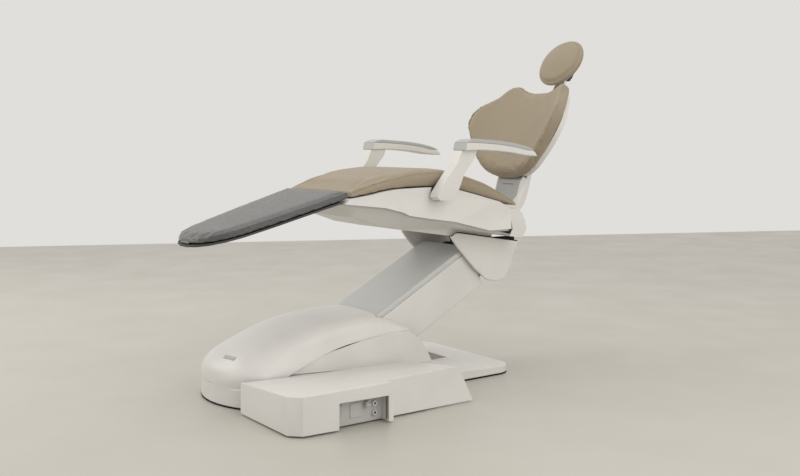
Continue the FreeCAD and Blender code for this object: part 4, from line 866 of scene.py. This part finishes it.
class CHAIR_OT_seat_shell(Making):
    """Shape the tub under the seat and the housing behind it"""

    bl_idname = "chair.seat_shell"
    bl_label = "Seat shell"

    TUB_CORNER, HOUSING_CORNER, BOARD_EDGE, LIP_EDGE = 0.02, 0.012, 0.0015, 0.0004
    LIP_OUT, LIP_IN, LIP_UP, LIP_DOWN, LIP_FRONT, LIP_BACK = 0.0035, 0.0055, 0.008, 0.007, 0.02, 0.01

    def make(self):
        edge = sizes().cover_edge
        upper = cover("seat_base_upper", edge, outline=self.TUB_CORNER)
        cover("seat_base_lower", edge)
        for side, word in ((-1, "left"), (1, "right")):
            self.seam_backing(upper, side, word)
        cover("rear_housing", edge, outline=self.HOUSING_CORNER)
        cover("leg_board", self.BOARD_EDGE, "board", "board")

    def seam_backing(self, upper, side, word, steps=50):
        """The lip behind the seam between the two shells, white shell plastic coloured in the darker column
        grey as painted shade in the seam.
        """
        places = stations("seat_base_upper", steps, self.LIP_FRONT, self.LIP_BACK)
        line = ridge(upper, places, 0.002, Vector((0, side * 0.2, -1)))
        corners = ((self.LIP_OUT, self.LIP_UP), (self.LIP_OUT, -self.LIP_DOWN),
                   (self.LIP_IN, -self.LIP_DOWN), (self.LIP_IN, self.LIP_UP))
        vertices = [point + Vector((0, -side * inward, rise)) for point in line for inward, rise in corners]
        lip = mesh_piece("seat_seam_lip_" + word, vertices, sleeve(len(line), 4))
        outward(lip)
        rounded(lip, self.LIP_EDGE, 2, 50)
        # Column grey here is painted shade in the seam; the lip itself is white shell plastic.
        settle(lip, "seat", "column_grey", "white_shell")


class CHAIR_OT_armrests(Making):
    """Shape both armrests with their posts, pads and sockets"""

    bl_idname = "chair.armrests"
    bl_label = "Armrests"

    POST_CORNER, ARM_CORNER, NOSE_REACH = 0.014, 0.02, 0.03

    def make(self):
        edge = sizes().rest_edge
        for side in ("left", "right"):
            cover("armrest_post_" + side, edge, segments=4, outline=self.POST_CORNER)
            arm = cover("armrest_arm_" + side, edge * 0.7, segments=4, outline=self.ARM_CORNER)
            self.grey_nose(arm)
            cover("armrest_pad_" + side, edge, "grey_trim", "grey_trim", segments=4, outline=self.ARM_CORNER)
            cover("armrest_socket_" + side, sizes().small_edge, "dark_plastic", "dark_plastic")

    def grey_nose(self, arm):
        """Gives the forward faces of an arm the finish of its pad."""
        arm.data.materials.append(FINISHES["grey_trim"])
        nose = min(v.co.x for v in arm.data.vertices)
        for face in arm.data.polygons:
            if face.center.x < nose + self.NOSE_REACH and face.normal.x < -0.35:
                face.material_index = 1


class CHAIR_OT_back_frame(Making):
    """Shape the column behind the back, its cover, the back shell and the headrest fittings"""

    bl_idname = "chair.back_frame"
    bl_label = "Back frame"

    COVER_CORNER, COLUMN_EDGE, SHELL_EDGE = 0.015, 0.002, 0.006
    SLOTS, SLOT_PITCH, SLOT_REAR, SLOT_UP = 6, 0.0105, 0.02, 0.222
    SLOT_SIZE, SLOT_EDGE = (0.0016, 0.0062, 0.0034), 0.0007

    def make(self):
        cover("back_column_cover", sizes().cover_edge, outline=self.COVER_CORNER)
        column = cover("back_column", self.COLUMN_EDGE, "column_grey", "cast_aluminium")
        self.vents(column)
        cover("back_shell", self.SHELL_EDGE, segments=4)
        for node in ("headrest_guide", "headrest_knuckle", "headrest_lever", "headrest_shell"):
            cover(node, sizes().small_edge * 1.5, "dark_plastic", "dark_plastic")

    def vents(self, column):
        """A row of small slots across the front of the column, under the cushion: near-black plates laid on
        the skin as painted shade for the openings.
        """
        skin = surface_of(column)
        for index in range(self.SLOTS):
            across = (index - (self.SLOTS - 1) / 2) * self.SLOT_PITCH
            place, normal, _, _ = skin.ray_cast(on_back(self.SLOT_REAR, across, self.SLOT_UP), BACK_REAR)
            slot = block("column_slot_%d" % (index + 1), self.SLOT_SIZE)
            apply(slot, "BEVEL", width=self.SLOT_EDGE, segments=3)
            set_down(slot, place, normal, "X", 40)
            settle(slot, "back", "shadow_line", "dark_plastic")


class CHAIR_OT_seat_cushion(Making):
    """Blow up and sew the seat cushion"""

    bl_idname = "chair.seat_cushion"
    bl_label = "Seat cushion"

    SEAM_SHORT, STITCHES_BELOW = 0.012, 0.006

    def make(self):
        piece = blown_up(merged_copy("seat_cushion_pad", "seat_cushion"), cap=0.007, shrink=0.0035,
                         held=lambda place, normal: normal.z < -0.5)
        finer(piece)
        places = stations("seat_cushion", 60, self.SEAM_SHORT, self.SEAM_SHORT)
        for side, word in ((-1, "left"), (1, "right")):
            line = ridge(piece, places, 0.006, Vector((0, side, 0.8)))
            seamed(piece, "seat_cushion_" + word, line, "seat", beside=Vector((0, 0, -self.STITCHES_BELOW)))
        settle(piece, "seat", "upholstery", "upholstery", "seat_cushion")


class CHAIR_OT_foot_cushion(Making):
    """Blow up the foot section"""

    bl_idname = "chair.foot_cushion"
    bl_label = "Foot section"

    def make(self):
        piece = blown_up(merged_copy("foot_cushion_pad", "foot_cushion"), cap=0.004, shrink=0.0025, smooth=4,
                         held=lambda place, normal: normal.z < -0.5)
        finer(piece)
        settle(piece, "seat", "foot_covering", "upholstery", "foot_cushion")


class CHAIR_OT_back_cushion(Making):
    """Blow up and sew the back cushion"""

    bl_idname = "chair.back_cushion"
    bl_label = "Back cushion"

    FACE, THICK, WRAP = 0.0315, 0.046, 0.365
    EDGE = ((0.0, 0.238), (0.068, 0.241), (0.130, 0.257), (0.168, 0.284), (0.194, 0.317), (0.217, 0.352),
            (0.236, 0.388), (0.248, 0.424), (0.252, 0.460), (0.246, 0.500), (0.228, 0.540), (0.208, 0.575),
            (0.188, 0.608), (0.166, 0.646), (0.145, 0.667), (0.118, 0.672), (0.088, 0.660), (0.056, 0.650),
            (0.0, 0.648))

    SEAM_NARROWER, SEAM_LOWER, MIDDLE = 0.965, 0.968, 0.455

    def wrapped(self, rear, across, up):
        """A place on the cushion, curved round the sitter's back."""
        return on_back(self.FACE - self.WRAP + math.sqrt((self.WRAP + rear) ** 2 - across ** 2), across, up)

    def make(self):
        outline = eased_line([Vector(point) for point in self.EDGE], 6)
        outline += [Vector((-point.x, point.y)) for point in reversed(outline)]
        count = len(outline)
        sides = [Vector((rear, point.x, point.y)) for rear in (0, self.THICK) for point in outline]
        faces = [tuple(range(count)), tuple(range(count, 2 * count))]
        faces += [(a, (a + 1) % count, (a + 1) % count + count, a + count) for a in range(count)]
        piece = mesh_piece("back_cushion_pad", sides, faces)
        outward(piece)
        apply(piece, "REMESH", mode="VOXEL", voxel_size=sizes().cloth_cell)
        for vertex in piece.data.vertices:
            vertex.co = self.wrapped(*vertex.co)
        piece.data.update()
        piece = blown_up(piece, cap=0.008, shrink=0.003, smooth=5,
                         held=lambda place, normal: normal.dot(BACK_REAR) > 0.6)
        finer(piece)
        seam = [self.wrapped(0, point.x * self.SEAM_NARROWER,
                             self.MIDDLE + (point.y - self.MIDDLE) * self.SEAM_LOWER)
                for point in outline + outline[:1]]
        seamed(piece, "back_cushion", seam, "back")
        settle(piece, "back", "upholstery", "upholstery", "back_cushion")


class CHAIR_OT_headrest_cushion(Making):
    """Blow up and sew the headrest"""

    bl_idname = "chair.headrest_cushion"
    bl_label = "Headrest"

    SEAM_ABOVE, SEAM_BEFORE, SEAM_RADIUS, SEAM_STEPS = 0.015, 0.077, 0.107, 48

    def make(self):
        piece = blown_up(merged_copy("headrest_cushion_pad", "headrest_cushion"), cap=0.005, shrink=0.002,
                         smooth=3, cell=0.005, held=lambda place, normal: normal.dot(BACK_REAR) > 0.8)
        finer(piece)
        pivot = Vector(JOINTS["headrest_tilt"]["pos_m"])
        centre = pivot + BACK_UP * self.SEAM_ABOVE - BACK_REAR * self.SEAM_BEFORE
        ring = [centre + Vector((0, self.SEAM_RADIUS * math.cos(turn), 0))
                + BACK_UP * (self.SEAM_RADIUS * math.sin(turn))
                for turn in (math.pi * step / self.SEAM_STEPS for step in range(self.SEAM_STEPS * 2 + 1))]
        seamed(piece, "headrest", ring, "headrest")
        settle(piece, "headrest", "upholstery", "upholstery", "headrest_cushion")


class CHAIR_OT_stage(Making):
    """Lay the floor and set the studio lights and the camera"""

    bl_idname = "chair.stage"
    bl_label = "Stage"

    FLOOR, FLOOR_PLACE, FLOOR_TURN = 9.6, (0.6, 0, -0.0005), math.radians(-24)
    SKY, SKY_STRENGTH, LAMP = tint(232, 230, 226), 0.93, tint(255, 253, 250)
    # Each softbox: its name, its place, what it points at, its size in metres and its power in watts.
    SOFTBOXES = (("window", (-2.6, 2.6, 2.6), (0, 0, 0.5), 2.6, 46),
                 ("key", (0.4, -3.4, 2.4), (0, 0, 0.5), 3.0, 36),
                 ("overhead", (0.3, 0.2, 3.6), (0.2, 0, 0.4), 2.4, 14))
    VIEW_PLACE, VIEW_TURN = (-1.9355, -2.958, 0.850), math.radians(-36.05)
    LENS, SENSOR, SHIFT, FARTHEST = 43.74, 36, -0.1175, 60

    def make(self):
        deselect()
        bpy.ops.mesh.primitive_plane_add(size=self.FLOOR, location=self.FLOOR_PLACE,
                                         rotation=(0, 0, self.FLOOR_TURN))
        floor = bpy.context.object
        floor.name = "studio_floor"
        floor.data.materials.append(floor_finish())
        world = bpy.data.worlds.new("studio")
        bpy.context.scene.world = world
        world.use_nodes = True
        sky = world.node_tree.nodes["Background"]
        sky.inputs["Color"].default_value = (*self.SKY, 1)
        sky.inputs["Strength"].default_value = self.SKY_STRENGTH
        for softbox in self.SOFTBOXES:
            self.softbox(*softbox)
        camera = bpy.data.cameras.new("camera")
        camera.lens, camera.sensor_width, camera.shift_y = self.LENS, self.SENSOR, self.SHIFT
        camera.clip_end = self.FARTHEST
        view = bpy.data.objects.new("camera", camera)
        view.location = self.VIEW_PLACE
        view.rotation_euler = (math.radians(90), 0, self.VIEW_TURN)
        bpy.context.collection.objects.link(view)
        bpy.context.scene.camera = view
        bpy.context.scene.view_settings.view_transform = "Standard"

    def softbox(self, name, place, target, size, power):
        light = bpy.data.lights.new(name, "AREA")
        light.shape, light.size, light.energy = "SQUARE", size, power
        light.color = self.LAMP
        lamp = bpy.data.objects.new(name, light)
        lamp.location = place
        lamp.rotation_euler = (Vector(target) - Vector(place)).to_track_quat("-Z", "Y").to_euler()
        bpy.context.collection.objects.link(lamp)


STEPS = (CHAIR_OT_finishes, CHAIR_OT_base, CHAIR_OT_utility_box, CHAIR_OT_lift_arm, CHAIR_OT_seat_shell,
         CHAIR_OT_armrests, CHAIR_OT_back_frame, CHAIR_OT_seat_cushion, CHAIR_OT_foot_cushion,
         CHAIR_OT_back_cushion, CHAIR_OT_headrest_cushion, CHAIR_OT_stage)


class CHAIR_PT_panel(bpy.types.Panel):
    """The making steps, sizes and colours"""

    bl_idname = "CHAIR_PT_panel"
    bl_label = "Treatment Chair"
    bl_space_type = "VIEW_3D"
    bl_region_type = "UI"
    bl_category = "Chair"

    def draw(self, context):
        for step in STEPS:
            self.layout.operator(step.bl_idname)
        for group in (context.scene.chair_sizes, context.scene.chair_colours):
            box = self.layout.box()
            for name in group.bl_rna.properties.keys():
                if name not in ("rna_type", "name"):
                    box.prop(group, name)


CLASSES = (ChairSizes, ChairColours, *STEPS, CHAIR_PT_panel)


def register():
    for kind in CLASSES:
        bpy.utils.register_class(kind)
    bpy.types.Scene.chair_sizes = PointerProperty(type=ChairSizes)
    bpy.types.Scene.chair_colours = PointerProperty(type=ChairColours)


def unregister():
    del bpy.types.Scene.chair_colours
    del bpy.types.Scene.chair_sizes
    for kind in reversed(CLASSES):
        bpy.utils.unregister_class(kind)


def main():
    register()
    for step in STEPS:
        getattr(bpy.ops.chair, step.bl_idname.split(".")[1])()
    deselect()


if __name__ == "__main__":
    main()
